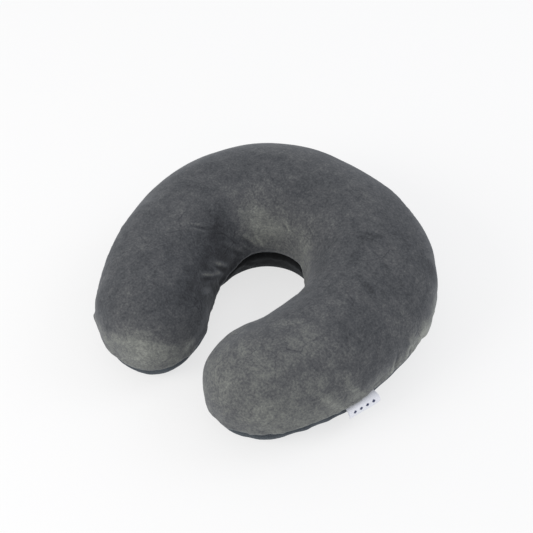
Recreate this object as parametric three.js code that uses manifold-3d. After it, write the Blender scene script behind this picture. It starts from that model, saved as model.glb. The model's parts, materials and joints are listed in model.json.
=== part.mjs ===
// U shaped travel neck pillow: a foam core in a two part liner, inside a removable cloth cover
// that closes with a coil zip in the back seam.
// Millimetres, +Z up, base on z = 0, back of the neck at +Y, mouth of the U at -Y.
import * as THREE from "three";
import { mergeVertices } from "three/addons/utils/BufferGeometryUtils.js";
import Module from "manifold-3d";

const wasm = await Module();
wasm.setup();

// ---- Driving dimensions: plan of the U ----
const BACK_DIAMETER = 300;        // outside of the round back
const ARC_RADIUS = 93.5;          // centreline of the round back
const ARC_HALF_ANGLE = 92.6;      // degrees either side of the back
const ARM_RADIUS = 154.5;         // centreline of the arms, which still curve inwards
const ARM_LENGTH = 90;
const HALF_WIDTH_BACK = BACK_DIAMETER / 2 - ARC_RADIUS;
const HALF_WIDTH_TIP = 50.5;
const TAPER_START = 0.45;         // share of the half length that keeps the back's width
const CAP_LENGTH = 56;            // round end beyond each arm
const CAP_POWER = 1.92;           // 2 is an ellipse, more is squarer

// ---- Driving dimensions: section ----
const HEIGHT_BACK = 102;
const HEIGHT_TIP = 89.5;
const WIDEST_AT = 0.445;          // share of the height
const CROWN_POWER = 2.12;
const BASE_CORNER = 16.5;         // how far the flat base stays inside the widest line
const SEAM_HEIGHT = 36.5;
const SEAM_HEIGHT_ARM = 26;
const SEAM_HEIGHT_TIP = 21;
const SEAM_DIP = [0.36, 0.76];
const SEAM_GAP = 0.3;

// ---- Layers, measured inwards from the outer surface ----
const COVER_INNER = 1.8;
const TAPE_LAYER = [2.75, 3.3];
const CARE_LABEL_LAYER = [2.4, 2.9];
const LINER_LAYER = [3.6, 4.3];
const FOAM_LAYER = 4.6;
const ZIP_RECESS = 2.2;           // extra room in liner and foam behind the slider

// ---- Zip, on a circle about the vertical axis through the centre of the back ----
const ZIP_RADIUS = BACK_DIAMETER / 2;
const CHAIN_HALF_ANGLE = 45;
const TAPE_HALF_ANGLE = 48;
const SLOT_HALF_ANGLE = 46.5;     // where the cover's edges stand apart
const SLOT_END_ANGLE = 49.5;      // where they meet again
const SLOT_HALF_HEIGHT = 5;
const SLIDER_ANGLE = -42.8;       // zip closed
const TAPE_EDGE = 0.8;
const TAPE_WIDTH = 10.2;
const COIL_CENTRE = 1.5;          // above and below the seam line
const COIL_DEPTH = -1.525;        // from ZIP_RADIUS, negative is inwards
const COIL_RADII = [0.925, 0.9];
const STOP_ANGLES = [45.2, 46.0];
const STOP_EDGE = 0.6;
const STOP_HALF_HEIGHT = 2.6;
const STOP_DEPTHS = [-2.45, -0.5];
const SLIDER_LENGTH = 10;
const SLIDER_HALF_HEIGHT = 4.2;
const PLATE_OUTER = [-0.2, 0.8];
const PLATE_INNER = [-5.3, -4.4];
const FLANGE_INNER = 3.2;
const FLANGE_DEPTH = -2.3;
const WEB_HALF = 0.3;
const CROWN_HALF_LENGTH = 3.2;
const CROWN_TOP = 4;
const CROWN_WINDOW = [1.9, 3];    // half length and top of the opening for the pull's bar
const CROWN_WIDTH = 2.2;
const PIVOT_DEPTH = 1.9;
const PULL_LENGTH = 28;
const PULL_HALF_WIDTH = 4;
const PULL_THICKNESS = 1.2;

// ---- Labels ----
const LABEL_FROM = 175;           // along the centreline from the middle of the back
const LABEL_TO = 199;
const LABEL_OUT = 7.2;
const LABEL_DROP = 10.5;
const LABEL_THICKNESS = 1;
const LABEL_GAP = 0.3;

// ---- Fineness of the facets ----
const ZIP_STATIONS = 6;
const BACK_STATIONS = 6;
const ARM_STATIONS = 6;
const CAP_RIBS = 12;
const CROWN_ANGLES = [20, 38, 56, 73];
const CHAIN_STEPS = 24;
const COIL_SIDES = 8;

const radians = THREE.MathUtils.degToRad;
const backLength = ARC_RADIUS * radians(ARC_HALF_ANGLE);
const halfLength = backLength + ARM_LENGTH;

function easeBetween(from, to, share) {
  return from + (to - from) * THREE.MathUtils.smoothstep(share, 0, 1);
}

// ---- Plan: one rib stands on each place of the centreline and points to the outline ----

function centreline(along) {
  const distance = Math.abs(along);
  const side = along < 0 ? -1 : 1;
  const backAngle = Math.min(distance, backLength) / ARC_RADIUS;
  const armAngle = Math.max(distance - backLength, 0) / ARM_RADIUS;
  const turn = backAngle + armAngle;
  const corner = radians(ARC_HALF_ANGLE);
  let x = ARC_RADIUS * Math.sin(backAngle);
  let y = ARC_RADIUS * Math.cos(backAngle);
  if (armAngle > 0) {
    x += ARM_RADIUS * (Math.sin(turn) - Math.sin(corner));
    y += ARM_RADIUS * (Math.cos(turn) - Math.cos(corner));
  }
  return {
    point: new THREE.Vector2(side * x, y),
    outward: new THREE.Vector2(side * Math.sin(turn), Math.cos(turn)),
    ahead: new THREE.Vector2(side * Math.cos(turn), -Math.sin(turn)),
  };
}

function sideRib(along, side) {
  const share = Math.abs(along) / halfLength;
  const place = centreline(along);
  const angle = THREE.MathUtils.radToDeg(along / ARC_RADIUS);
  return {
    point: place.point,
    direction: place.outward.clone().multiplyScalar(side),
    width: easeBetween(HALF_WIDTH_BACK, HALF_WIDTH_TIP, (share - TAPER_START) / (1 - TAPER_START)),
    height: easeBetween(HEIGHT_BACK, HEIGHT_TIP, share),
    seam: easeBetween(SEAM_HEIGHT, SEAM_HEIGHT_ARM, (share - SEAM_DIP[0]) / (SEAM_DIP[1] - SEAM_DIP[0])),
    overZip: side > 0 && Math.abs(angle) < SLOT_HALF_ANGLE + 0.01,
  };
}

function capRibs(along) {
  const place = centreline(along);
  const ribs = [];
  for (let step = 1; step < CAP_RIBS; step += 1) {
    const turn = (Math.PI * step) / CAP_RIBS;
    const across = Math.cos(turn);
    const forward = Math.sin(turn);
    const power = (Math.abs(across) / HALF_WIDTH_TIP) ** CAP_POWER + (forward / CAP_LENGTH) ** CAP_POWER;
    const direction = place.outward.clone().multiplyScalar(across);
    ribs.push({
      point: place.point,
      direction: direction.addScaledVector(place.ahead, forward),
      width: power ** (-1 / CAP_POWER),
      height: HEIGHT_TIP,
      seam: SEAM_HEIGHT_ARM + (SEAM_HEIGHT_TIP - SEAM_HEIGHT_ARM) * forward ** 2,
      overZip: false,
    });
  }
  return ribs;
}

function stations() {
  const right = [];
  for (let step = 1; step <= ZIP_STATIONS; step += 1) {
    right.push(ARC_RADIUS * radians((SLOT_HALF_ANGLE * step) / ZIP_STATIONS));
  }
  const slotEnd = ARC_RADIUS * radians(SLOT_END_ANGLE);
  right.push(slotEnd);
  for (let step = 1; step <= BACK_STATIONS; step += 1) {
    right.push(slotEnd + ((backLength - slotEnd) * step) / BACK_STATIONS);
  }
  for (let step = 1; step <= ARM_STATIONS; step += 1) {
    right.push(backLength + (ARM_LENGTH * step) / ARM_STATIONS);
  }
  const left = right.map((along) => -along).reverse();
  return [...left, 0, ...right];
}

function ribsAround() {
  const places = stations();
  const outer = places.map((along) => sideRib(along, 1));
  const inner = places.map((along) => sideRib(along, -1)).reverse();
  return [...outer, ...capRibs(halfLength), ...inner, ...capRibs(-halfLength).reverse()];
}

// ---- Section: points of one rib, pushed in by a layer's depth along the surface normal ----

function pushedIn(across, up, normalAcross, normalUp, depth) {
  const length = Math.hypot(normalAcross, normalUp);
  return {
    across: across - (depth * normalAcross) / length,
    up: up - (depth * normalUp) / length,
  };
}

function wallPoint(rib, height, depth) {
  const widest = WIDEST_AT * rib.height;
  const sine = 1 - height / widest;
  const cosine = Math.sqrt(1 - sine * sine);
  const across = rib.width - BASE_CORNER * (1 - cosine);
  return pushedIn(across, height, cosine / BASE_CORNER, -sine / widest, depth);
}

function crownPoint(rib, degrees, depth) {
  const widest = WIDEST_AT * rib.height;
  const rise = rib.height - widest;
  if (degrees === 90) {
    return { across: 0, up: rib.height - depth };
  }
  const cosine = Math.cos(radians(degrees));
  const sine = Math.sin(radians(degrees));
  const spread = 2 / CROWN_POWER;
  return pushedIn(
    rib.width * cosine ** spread,
    widest + rise * sine ** spread,
    cosine ** (2 - spread) / rib.width,
    sine ** (2 - spread) / rise,
    depth,
  );
}

// Each level is a line round the pillow: it gives its point on any rib at any depth.
const seamLevel = (rib, depth) => wallPoint(rib, rib.seam, depth);
const widestLevel = (rib, depth) => wallPoint(rib, WIDEST_AT * rib.height, depth);
const wallLevels = [0.64, 0.22, 0].map((share) => (rib, depth) => wallPoint(rib, rib.seam * share, depth));
const baseCentreLevel = (rib, depth) => ({ across: 0, up: depth });
const crownLevels = [...CROWN_ANGLES, 90].map((degrees) => (rib, depth) => crownPoint(rib, degrees, depth));

function slotLevel(side) {
  return (rib, depth) => {
    const half = rib.overZip ? SLOT_HALF_HEIGHT : SEAM_GAP / 2;
    return wallPoint(rib, rib.seam + side * half, depth);
  };
}

function linerLevel(side) {
  return (rib, depth) => wallPoint(rib, WIDEST_AT * rib.height + (side * SEAM_GAP) / 2, depth);
}

// Liner and foam go deeper behind the zip, at the levels next to it.
function recessed(level) {
  return (rib, depth) => level(rib, depth + (rib.overZip ? ZIP_RECESS : 0));
}

// ---- Closed meshes ----

function closedMesh(corners) {
  const soup = new THREE.BufferGeometry();
  soup.setAttribute("position", new THREE.Float32BufferAttribute(corners, 3));
  const merged = mergeVertices(soup, 1e-3);
  const index = merged.getIndex().array;
  const position = merged.getAttribute("position");
  const kept = [];
  let volume = 0;
  for (let face = 0; face < index.length; face += 3) {
    const [a, b, c] = index.slice(face, face + 3);
    if (a === b || b === c || c === a) {
      continue;
    }
    const [pa, pb, pc] = [a, b, c].map((at) => new THREE.Vector3().fromBufferAttribute(position, at));
    volume += pa.dot(pb.cross(pc));
    kept.push(a, b, c);
  }
  merged.setIndex(volume < 0 ? kept.reverse() : kept);
  merged.computeVertexNormals();
  return merged;
}

function addQuad(corners, a, b, c, d) {
  for (const point of [a, b, c, a, c, d]) {
    corners.push(point.x, point.y, point.z);
  }
}

// One layer of the pillow as a grid of points, [rib][level].
function layerGrid(ribs, levels, depth) {
  return ribs.map((rib) => levels.map((level) => {
    const { across, up } = level(rib, depth);
    const plan = rib.point.clone().addScaledVector(rib.direction, across);
    return new THREE.Vector3(plan.x, plan.y + ARC_CENTRE_Y, up);
  }));
}

function addGrid(corners, grid, isLoop, faceOut) {
  const count = isLoop ? grid.length : grid.length - 1;
  for (let rib = 0; rib < count; rib += 1) {
    const here = grid[rib];
    const next = grid[(rib + 1) % grid.length];
    for (let level = 0; level + 1 < here.length; level += 1) {
      const [a, b, c, d] = [here[level], next[level], next[level + 1], here[level + 1]];
      addQuad(corners, a, ...(faceOut ? [b, c, d] : [d, c, b]));
    }
  }
}

// A cloth layer round the whole pillow, from its edge at the first level to the last level,
// where the two sides meet on the centreline.
function roundShell(levels, outerDepth, innerDepth) {
  const ribs = ribsAround();
  const outer = layerGrid(ribs, levels, outerDepth);
  const inner = layerGrid(ribs, levels, innerDepth);
  const corners = [];
  addGrid(corners, outer, true, true);
  addGrid(corners, inner, true, false);
  outer.forEach((column, rib) => {
    const next = (rib + 1) % outer.length;
    addQuad(corners, inner[rib][0], inner[next][0], outer[next][0], column[0]);
  });
  return closedMesh(corners);
}

// A full solid, from its widest level up to the crown and down to the base.
function roundSolid(upwards, downwards, depth) {
  const ribs = ribsAround();
  const corners = [];
  addGrid(corners, layerGrid(ribs, upwards, depth), true, true);
  addGrid(corners, layerGrid(ribs, downwards, depth), true, false);
  return closedMesh(corners);
}

// A bar through equal rings of points, closed by a fan at each end.
function loft(rings) {
  const corners = [];
  const sides = rings[0].length;
  for (let ring = 0; ring + 1 < rings.length; ring += 1) {
    for (let side = 0; side < sides; side += 1) {
      const next = (side + 1) % sides;
      addQuad(corners, rings[ring][side], rings[ring][next], rings[ring + 1][next], rings[ring + 1][side]);
    }
  }
  for (const [ring, faceOut] of [[rings[0], false], [rings[rings.length - 1], true]]) {
    for (let side = 1; side + 1 < sides; side += 1) {
      const fan = faceOut ? [ring[0], ring[side], ring[side + 1]] : [ring[0], ring[side + 1], ring[side]];
      fan.forEach((point) => corners.push(point.x, point.y, point.z));
    }
  }
  return closedMesh(corners);
}

// A strip of cloth that follows the pillow's own surface between two depths.
function surfaceStrip(ribs, levels, layer) {
  const outer = layerGrid(ribs, levels, layer[0]);
  const inner = layerGrid(ribs, levels, layer[1]);
  return loft(outer.map((column, rib) => [...column, ...[...inner[rib]].reverse()]));
}

// ---- Zip pieces ----

function onCircle(degrees, depth, up) {
  const radius = ZIP_RADIUS + depth;
  const angle = radians(degrees);
  return new THREE.Vector3(radius * Math.sin(angle), radius * Math.cos(angle) + ARC_CENTRE_Y, up);
}

function arcBar(section, from, to, steps) {
  const rings = [];
  for (let step = 0; step <= steps; step += 1) {
    const degrees = from + ((to - from) * step) / steps;
    rings.push(section.map(([depth, up]) => onCircle(degrees, depth, SEAM_HEIGHT + up)));
  }
  return loft(rings);
}

function zipTape(side) {
  const ribs = [];
  const heights = [TAPE_EDGE, TAPE_EDGE + TAPE_WIDTH / 2, TAPE_EDGE + TAPE_WIDTH];
  const reach = ARC_RADIUS * radians(TAPE_HALF_ANGLE);
  for (let step = 0; step <= CHAIN_STEPS; step += 1) {
    ribs.push(sideRib(-reach + (2 * reach * step) / CHAIN_STEPS, 1));
  }
  const levels = heights.map((up) => (rib, depth) => {
    const height = SEAM_HEIGHT + side * up;
    const widest = WIDEST_AT * rib.height;
    return height < widest ? wallPoint(rib, height, depth) : { across: rib.width - depth, up: height };
  });
  return surfaceStrip(ribs, levels, TAPE_LAYER);
}

function zipCoil(side) {
  const section = [];
  for (let corner = 0; corner < COIL_SIDES; corner += 1) {
    const turn = (2 * Math.PI * (corner + 0.5)) / COIL_SIDES;
    const depth = COIL_DEPTH + COIL_RADII[0] * Math.cos(turn);
    section.push([depth, side * COIL_CENTRE + COIL_RADII[1] * Math.sin(turn)]);
  }
  return arcBar(section, -CHAIN_HALF_ANGLE, CHAIN_HALF_ANGLE, CHAIN_STEPS);
}

function zipStop(direction, low, high) {
  const [deep, shallow] = STOP_DEPTHS;
  const bevel = 0.4;
  const section = [
    [deep, low],
    [shallow - bevel, low],
    [shallow, low + bevel],
    [shallow, high - bevel],
    [shallow - bevel, high],
    [deep, high],
  ];
  return arcBar(section, direction * STOP_ANGLES[0], direction * STOP_ANGLES[1], 1);
}

function polygon(points) {
  return new THREE.Shape(points.map(([x, y]) => new THREE.Vector2(x, y)));
}

function extrude(shape, from, to) {
  const geometry = new THREE.ExtrudeGeometry(shape, { depth: to - from, bevelEnabled: false, curveSegments: 6 });
  return geometry.translate(0, 0, from);
}

function toSolid(geometry) {
  const bare = geometry.clone();
  bare.deleteAttribute("normal");
  bare.deleteAttribute("uv");
  const merged = mergeVertices(bare, 1e-4);
  return new wasm.Manifold(new wasm.Mesh({
    numProp: 3,
    vertProperties: new Float32Array(merged.getAttribute("position").array),
    triVerts: new Uint32Array(merged.getIndex().array),
  }));
}

function toGeometry(solid) {
  const mesh = solid.getMesh();
  const geometry = new THREE.BufferGeometry();
  geometry.setAttribute("position", new THREE.BufferAttribute(mesh.vertProperties, 3));
  geometry.setIndex(new THREE.BufferAttribute(mesh.triVerts, 1));
  return geometry;
}

// Slider and pull are drawn with X along the zip, Y outwards from its circle and Z across the tape.
function sliderBody() {
  const half = SLIDER_HALF_HEIGHT;
  const innerHalf = half - 0.4;
  const rightSide = [
    [half, PLATE_OUTER[1]],
    [half, FLANGE_DEPTH],
    [FLANGE_INNER, FLANGE_DEPTH],
    [FLANGE_INNER, PLATE_OUTER[0]],
    [WEB_HALF, PLATE_OUTER[0]],
    [WEB_HALF, PLATE_INNER[1]],
    [innerHalf, PLATE_INNER[1]],
    [innerHalf, PLATE_INNER[0]],
  ];
  const leftSide = rightSide.map(([across, out]) => [-across, out]).reverse();
  const channel = extrude(polygon([...rightSide, ...leftSide]), -SLIDER_LENGTH / 2, SLIDER_LENGTH / 2);
  channel.rotateY(Math.PI / 2);

  const plan = new THREE.Shape();
  const nose = -SLIDER_LENGTH / 2;
  plan.moveTo(nose, -2.4);
  plan.quadraticCurveTo(nose, -half, nose + 2, -half);
  plan.lineTo(0.5, -half);
  plan.quadraticCurveTo(2.5, -half, -nose, -half + 0.7);
  plan.lineTo(-nose, half - 0.7);
  plan.quadraticCurveTo(2.5, half, 0.5, half);
  plan.lineTo(nose + 2, half);
  plan.quadraticCurveTo(nose, half, nose, 2.4);
  const outline = extrude(plan, PLATE_INNER[0] - 1, PLATE_OUTER[1] + 1);
  outline.rotateX(-Math.PI / 2);
  return toSolid(channel).intersect(toSolid(outline));
}

function sliderCrown() {
  const [windowHalf, windowTop] = CROWN_WINDOW;
  const foot = PLATE_OUTER[1] - 0.5;
  const arch = new THREE.Shape();
  arch.moveTo(-CROWN_HALF_LENGTH, foot);
  arch.lineTo(CROWN_HALF_LENGTH, foot);
  arch.lineTo(CROWN_HALF_LENGTH, windowTop - 0.4);
  arch.quadraticCurveTo(CROWN_HALF_LENGTH, CROWN_TOP, windowHalf, CROWN_TOP);
  arch.lineTo(-windowHalf, CROWN_TOP);
  arch.quadraticCurveTo(-CROWN_HALF_LENGTH, CROWN_TOP, -CROWN_HALF_LENGTH, windowTop - 0.4);
  arch.holes.push(polygon([
    [-windowHalf, foot + 0.3],
    [-windowHalf, windowTop],
    [windowHalf, windowTop],
    [windowHalf, foot + 0.3],
  ]));
  return toSolid(extrude(arch, -CROWN_WIDTH / 2, CROWN_WIDTH / 2));
}

function zipPull() {
  const bar = PULL_THICKNESS / 2;
  const end = PULL_LENGTH - bar;
  const plan = new THREE.Shape();
  plan.moveTo(-bar, -2.6);
  plan.lineTo(bar + 1, -2.9);
  plan.quadraticCurveTo(6.5, -3.1, 9, -PULL_HALF_WIDTH);
  plan.lineTo(end - 3, -PULL_HALF_WIDTH);
  plan.quadraticCurveTo(end, -PULL_HALF_WIDTH, end, 0);
  plan.quadraticCurveTo(end, PULL_HALF_WIDTH, end - 3, PULL_HALF_WIDTH);
  plan.lineTo(9, PULL_HALF_WIDTH);
  plan.quadraticCurveTo(6.5, 3.1, bar + 1, 2.9);
  plan.lineTo(-bar, 2.6);
  plan.holes.push(polygon([[bar, -1.5], [bar, 1.5], [bar + 3.8, 1.5], [bar + 3.8, -1.5]]));
  const grip = new THREE.Path();
  grip.absarc(21.5, 0, 1.7, -Math.PI / 2, Math.PI / 2, false);
  grip.absarc(12, 0, 1.7, Math.PI / 2, (3 * Math.PI) / 2, false);
  plan.holes.push(grip);
  return extrude(plan, -bar, bar).rotateX(-Math.PI / 2);
}

// ---- Side label: a folded woven strip that leaves the seam and hangs outwards ----

function sideLabel() {
  const rings = [];
  const steps = 4;
  for (let step = 0; step <= steps; step += 1) {
    const rib = sideRib(LABEL_FROM + ((LABEL_TO - LABEL_FROM) * step) / steps, 1);
    const root = wallPoint(rib, rib.seam, -LABEL_GAP);
    const fall = [[0, 0], [LABEL_OUT * 0.55, -LABEL_DROP * 0.35], [LABEL_OUT, -LABEL_DROP]];
    const upper = fall.map(([out, drop]) => [root.across + out, root.up + drop]);
    const lower = fall.map(([out, drop]) => [root.across + out * 0.87, root.up + drop - LABEL_THICKNESS]);
    const section = [...upper, ...lower.reverse()];
    rings.push(section.map(([across, up]) => {
      const plan = rib.point.clone().addScaledVector(rib.direction, across);
      return new THREE.Vector3(plan.x, plan.y + ARC_CENTRE_Y, up);
    }));
  }
  return loft(rings);
}

// The origin is the middle of the whole plan, so the arc's centre lies a little off it.
function arcCentreOffset() {
  const outline = capRibs(halfLength).map((rib) => rib.point.y + rib.direction.y * rib.width);
  const front = Math.min(...outline);
  return -(front + ZIP_RADIUS) / 2;
}

const ARC_CENTRE_Y = arcCentreOffset();

// ---- Finishes ----

function finish(color, roughness, metalness) {
  return new THREE.MeshStandardMaterial({ color, roughness, metalness });
}

const velour = finish(0x5a5b5f, 0.95, 0);
const baseCloth = finish(0x454a4e, 0.85, 0);
const foam = finish(0xe4dcc4, 0.95, 0);
const linerKnit = finish(0xd8d8d6, 0.95, 0);
const zipTapeWeave = finish(0x33353a, 0.9, 0);
const nylonCoil = finish(0x25272b, 0.45, 0);
const zipMetal = finish(0x53555a, 0.35, 1);
const labelWeave = finish(0xdcdce6, 0.9, 0);

// ---- Assembly ----

const pillow = new THREE.Group();

function place(name, geometry, material, parent = pillow) {
  const mesh = new THREE.Mesh(geometry, material);
  mesh.name = name;
  parent.add(mesh);
}

place("cover_top", roundShell([slotLevel(1), widestLevel, ...crownLevels], 0, COVER_INNER), velour);
place("cover_bottom", roundShell([slotLevel(-1), ...wallLevels, baseCentreLevel], 0, COVER_INNER), baseCloth);
place("liner_top", roundShell([recessed(linerLevel(1)), ...crownLevels], ...LINER_LAYER), linerKnit);
place(
  "liner_bottom",
  roundShell(
    [recessed(linerLevel(-1)), recessed(seamLevel), ...wallLevels, baseCentreLevel],
    ...LINER_LAYER,
  ),
  linerKnit,
);
place(
  "foam_core",
  roundSolid(
    [recessed(widestLevel), ...crownLevels],
    [recessed(widestLevel), recessed(seamLevel), ...wallLevels, baseCentreLevel],
    FOAM_LAYER,
  ),
  foam,
);

place("zip_tape_upper", zipTape(1), zipTapeWeave);
place("zip_tape_lower", zipTape(-1), zipTapeWeave);
place("zip_coil_upper", zipCoil(1), nylonCoil);
place("zip_coil_lower", zipCoil(-1), nylonCoil);
place("zip_bottom_stop", zipStop(1, -STOP_HALF_HEIGHT, STOP_HALF_HEIGHT), zipMetal);
place("zip_top_stop_upper", zipStop(-1, STOP_EDGE, STOP_HALF_HEIGHT), zipMetal);
place("zip_top_stop_lower", zipStop(-1, -STOP_HALF_HEIGHT, -STOP_EDGE), zipMetal);

const sliderFrame = new THREE.Group();
sliderFrame.position.set(0, ARC_CENTRE_Y, SEAM_HEIGHT);
sliderFrame.rotation.z = -radians(SLIDER_ANGLE);
pillow.add(sliderFrame);
const sliderSeat = new THREE.Group();
sliderSeat.position.y = ZIP_RADIUS;
sliderFrame.add(sliderSeat);
place("zip_slider", toGeometry(sliderBody().add(sliderCrown())), zipMetal, sliderSeat);
const pullPivot = new THREE.Group();
pullPivot.position.y = PIVOT_DEPTH;
sliderSeat.add(pullPivot);
place("zip_pull", zipPull(), zipMetal, pullPivot);

place("side_label", sideLabel(), labelWeave);
const [careFrom, careTo] = stations().slice(ARM_STATIONS + 3, ARM_STATIONS + 5);
const careShares = [0, 0.2, 0.4, 0.6, 0.8, 1];
const careRibs = careShares.map((share) => sideRib(careFrom + (careTo - careFrom) * share, 1));
place("care_label", surfaceStrip(careRibs, [widestLevel, ...crownLevels.slice(0, 2)], CARE_LABEL_LAYER), labelWeave);

export default pillow;
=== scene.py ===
"""Looks for the u shaped travel pillow: velour cover, foam core, liner, coil zip and labels.

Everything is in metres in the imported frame: +Z up, base on the floor, mouth of the U at -Y.
"""

import json
import logging
import math
from dataclasses import dataclass, field
from enum import Enum
from typing import Sequence

import bpy
import numpy as np
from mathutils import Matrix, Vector, kdtree, noise


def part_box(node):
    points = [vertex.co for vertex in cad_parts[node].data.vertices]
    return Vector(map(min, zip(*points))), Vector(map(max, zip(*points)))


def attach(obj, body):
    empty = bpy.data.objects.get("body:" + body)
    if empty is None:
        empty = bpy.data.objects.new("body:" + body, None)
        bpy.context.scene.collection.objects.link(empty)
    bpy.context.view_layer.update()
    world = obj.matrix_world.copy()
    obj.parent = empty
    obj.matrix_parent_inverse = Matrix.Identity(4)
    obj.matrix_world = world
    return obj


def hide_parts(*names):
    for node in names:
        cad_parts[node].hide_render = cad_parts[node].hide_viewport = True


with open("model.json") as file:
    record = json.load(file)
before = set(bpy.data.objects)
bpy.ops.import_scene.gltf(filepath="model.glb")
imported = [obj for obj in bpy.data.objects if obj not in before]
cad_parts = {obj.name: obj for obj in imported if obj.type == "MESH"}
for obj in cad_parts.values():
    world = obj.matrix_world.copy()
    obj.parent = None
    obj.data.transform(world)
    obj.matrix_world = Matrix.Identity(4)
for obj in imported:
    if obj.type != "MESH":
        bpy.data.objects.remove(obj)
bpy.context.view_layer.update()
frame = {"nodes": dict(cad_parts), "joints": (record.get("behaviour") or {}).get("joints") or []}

MM = 0.001
LOG = logging.getLogger("pillow")

Array = np.ndarray
Colour = tuple[float, float, float, float]


# ---------------------------------------------------------------------------------------------
# Small helpers
# ---------------------------------------------------------------------------------------------


def srgb(code: str) -> Colour:
    """Turn an sRGB hex colour into linear red, green, blue and alpha.

    Args:
        code: Six hex digits, with or without a leading #.

    Returns:
        The linear colour with alpha 1.
    """
    digits = code.lstrip("#")
    channels = [int(digits[at:at + 2], 16) / 255 for at in (0, 2, 4)]
    linear = [c / 12.92 if c <= 0.04045 else ((c + 0.055) / 1.055) ** 2.4 for c in channels]
    return (linear[0], linear[1], linear[2], 1.0)


def ease(share: Array | float) -> Array | float:
    """Smooth step from 0 to 1, flat at both ends."""
    t = np.clip(share, 0.0, 1.0)
    return t * t * (3 - 2 * t)


def bell(distance: Array, reach: float) -> Array:
    """A bump of height 1 that fades to nothing past its reach."""
    return np.exp(-((distance / reach) ** 2))


def ripple(points: Array, wavelength: float, seed: float, octaves: int = 1) -> Array:
    """Smooth repeatable noise at each point.

    Args:
        points: Places, one row each.
        wavelength: Size of the largest features, in the points' units.
        seed: Shifts the pattern.
        octaves: How many finer layers to add, each half as large.

    Returns:
        One value per point, roughly from -1 to 1.
    """
    shift = Vector((seed, seed * 1.7, seed * 2.3))
    if octaves == 1:
        return np.array([noise.noise(Vector(p) / wavelength + shift) for p in points])
    return np.array([noise.fractal(Vector(p) / wavelength + shift, 1.0, 2.0, octaves) for p in points])


def make_mesh(name: str, points: Array, faces: Sequence[Sequence[int]] | Array) -> bpy.types.Object:
    """Create a smooth shaded mesh object at the origin.

    Args:
        name: Object name.
        points: Vertex positions, one row each.
        faces: Vertex indices of each face.

    Returns:
        The object, linked to the scene.
    """
    mesh = bpy.data.meshes.new(name)
    mesh.from_pydata(np.asarray(points, float).tolist(), [], [list(map(int, f)) for f in faces])
    mesh.validate()
    mesh.polygons.foreach_set("use_smooth", [True] * len(mesh.polygons))
    piece = bpy.data.objects.new(name, mesh)
    bpy.context.scene.collection.objects.link(piece)
    return piece


def dress(piece: bpy.types.Object, material: bpy.types.Material) -> None:
    """Give a piece one material, on its own slot."""
    piece.data.materials.clear()
    piece.data.materials.append(material)


def paint(piece: bpy.types.Object, name: str, values: Array) -> None:
    """Store one number per vertex, for a material to read."""
    layer = piece.data.attributes.new(name, "FLOAT", "POINT")
    layer.data.foreach_set("value", np.asarray(values, np.float32))


def grid_faces(columns: int, rows: int, is_loop: bool) -> Array:
    """Quads of a grid whose vertices run down each column in turn.

    Args:
        columns: Number of columns.
        rows: Number of vertices in each column.
        is_loop: Whether the last column joins the first.

    Returns:
        Four vertex indices per quad.
    """
    starts = np.arange(columns if is_loop else columns - 1)
    here = (starts[:, None] * rows + np.arange(rows - 1)).ravel()
    after = (((starts + 1) % columns)[:, None] * rows + np.arange(rows - 1)).ravel()
    return np.stack([here, here + 1, after + 1, after], axis=1)


def weld(plan: Array, faces: Array, points: Array | None = None) -> tuple[Array, list[list[int]]]:
    """Merge vertices that lie on each other in the plan and drop the faces that collapse.

    Args:
        plan: Vertex positions that decide what belongs together.
        faces: Faces as vertex indices.
        points: Where the vertices really go, if not to the plan's positions.

    Returns:
        The kept positions, averaged where vertices merged, and the kept faces.
    """
    keys = np.round(plan / 1e-6 + 0.137).astype(np.int64)
    _, back, count = np.unique(keys, axis=0, return_inverse=True, return_counts=True)
    back = back.ravel()
    merged = np.zeros((len(count), 3))
    np.add.at(merged, back, plan if points is None else points)
    merged /= count[:, None]
    kept = []
    for face in back[faces]:
        corners = [int(c) for at, c in enumerate(face) if c != face[at - 1]]
        if len(corners) > 2 and len(set(corners)) == len(corners):
            kept.append(corners)
    return merged, kept


def join_bars(bars: Sequence[tuple[Array, Array]]) -> tuple[Array, Array]:
    """Put several small meshes into one list of points and faces."""
    points, faces, offset = [], [], 0
    for bar_points, bar_faces in bars:
        points.append(bar_points)
        faces.append(np.asarray(bar_faces) + offset)
        offset += len(bar_points)
    return np.concatenate(points), np.concatenate(faces)


def tube(line: Array, radius: float, sides: int, up: Array | None = None) -> tuple[Array, Array]:
    """A round bar along a line, drawn to a point at both ends.

    Args:
        line: Points along the middle of the bar.
        radius: Radius of the bar.
        sides: Corners of its section.
        up: A direction that is never along the line.

    Returns:
        Vertex positions and quads.
    """
    ahead = np.gradient(line, axis=0)
    ahead /= np.linalg.norm(ahead, axis=1, keepdims=True)
    across = np.cross(ahead, np.array([0.0, 0.0, 1.0]) if up is None else up)
    across /= np.linalg.norm(across, axis=1, keepdims=True)
    above = np.cross(across, ahead)
    size = np.full(len(line), radius)
    size[[0, -1]] = radius * 0.35
    turn = 2 * math.pi * np.arange(sides) / sides
    ring = across[:, None] * np.cos(turn)[None, :, None] + above[:, None] * np.sin(turn)[None, :, None]
    points = (line[:, None] + ring * size[:, None, None]).reshape(-1, 3)
    faces = []
    for at in range(len(line) - 1):
        for side in range(sides):
            after = (side + 1) % sides
            here, beyond = at * sides, (at + 1) * sides
            faces.append([here + side, here + after, beyond + after, beyond + side])
    for at, order in ((0, -1), (len(line) - 1, 1)):
        ends = (at * sides + np.arange(sides))[::order]
        for side in range(1, sides - 1, 2):
            faces.append([ends[0], ends[side], ends[side + 1], ends[min(side + 2, sides - 1)]])
    return points, np.array(faces)


# ---------------------------------------------------------------------------------------------
# Materials
# ---------------------------------------------------------------------------------------------


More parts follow.
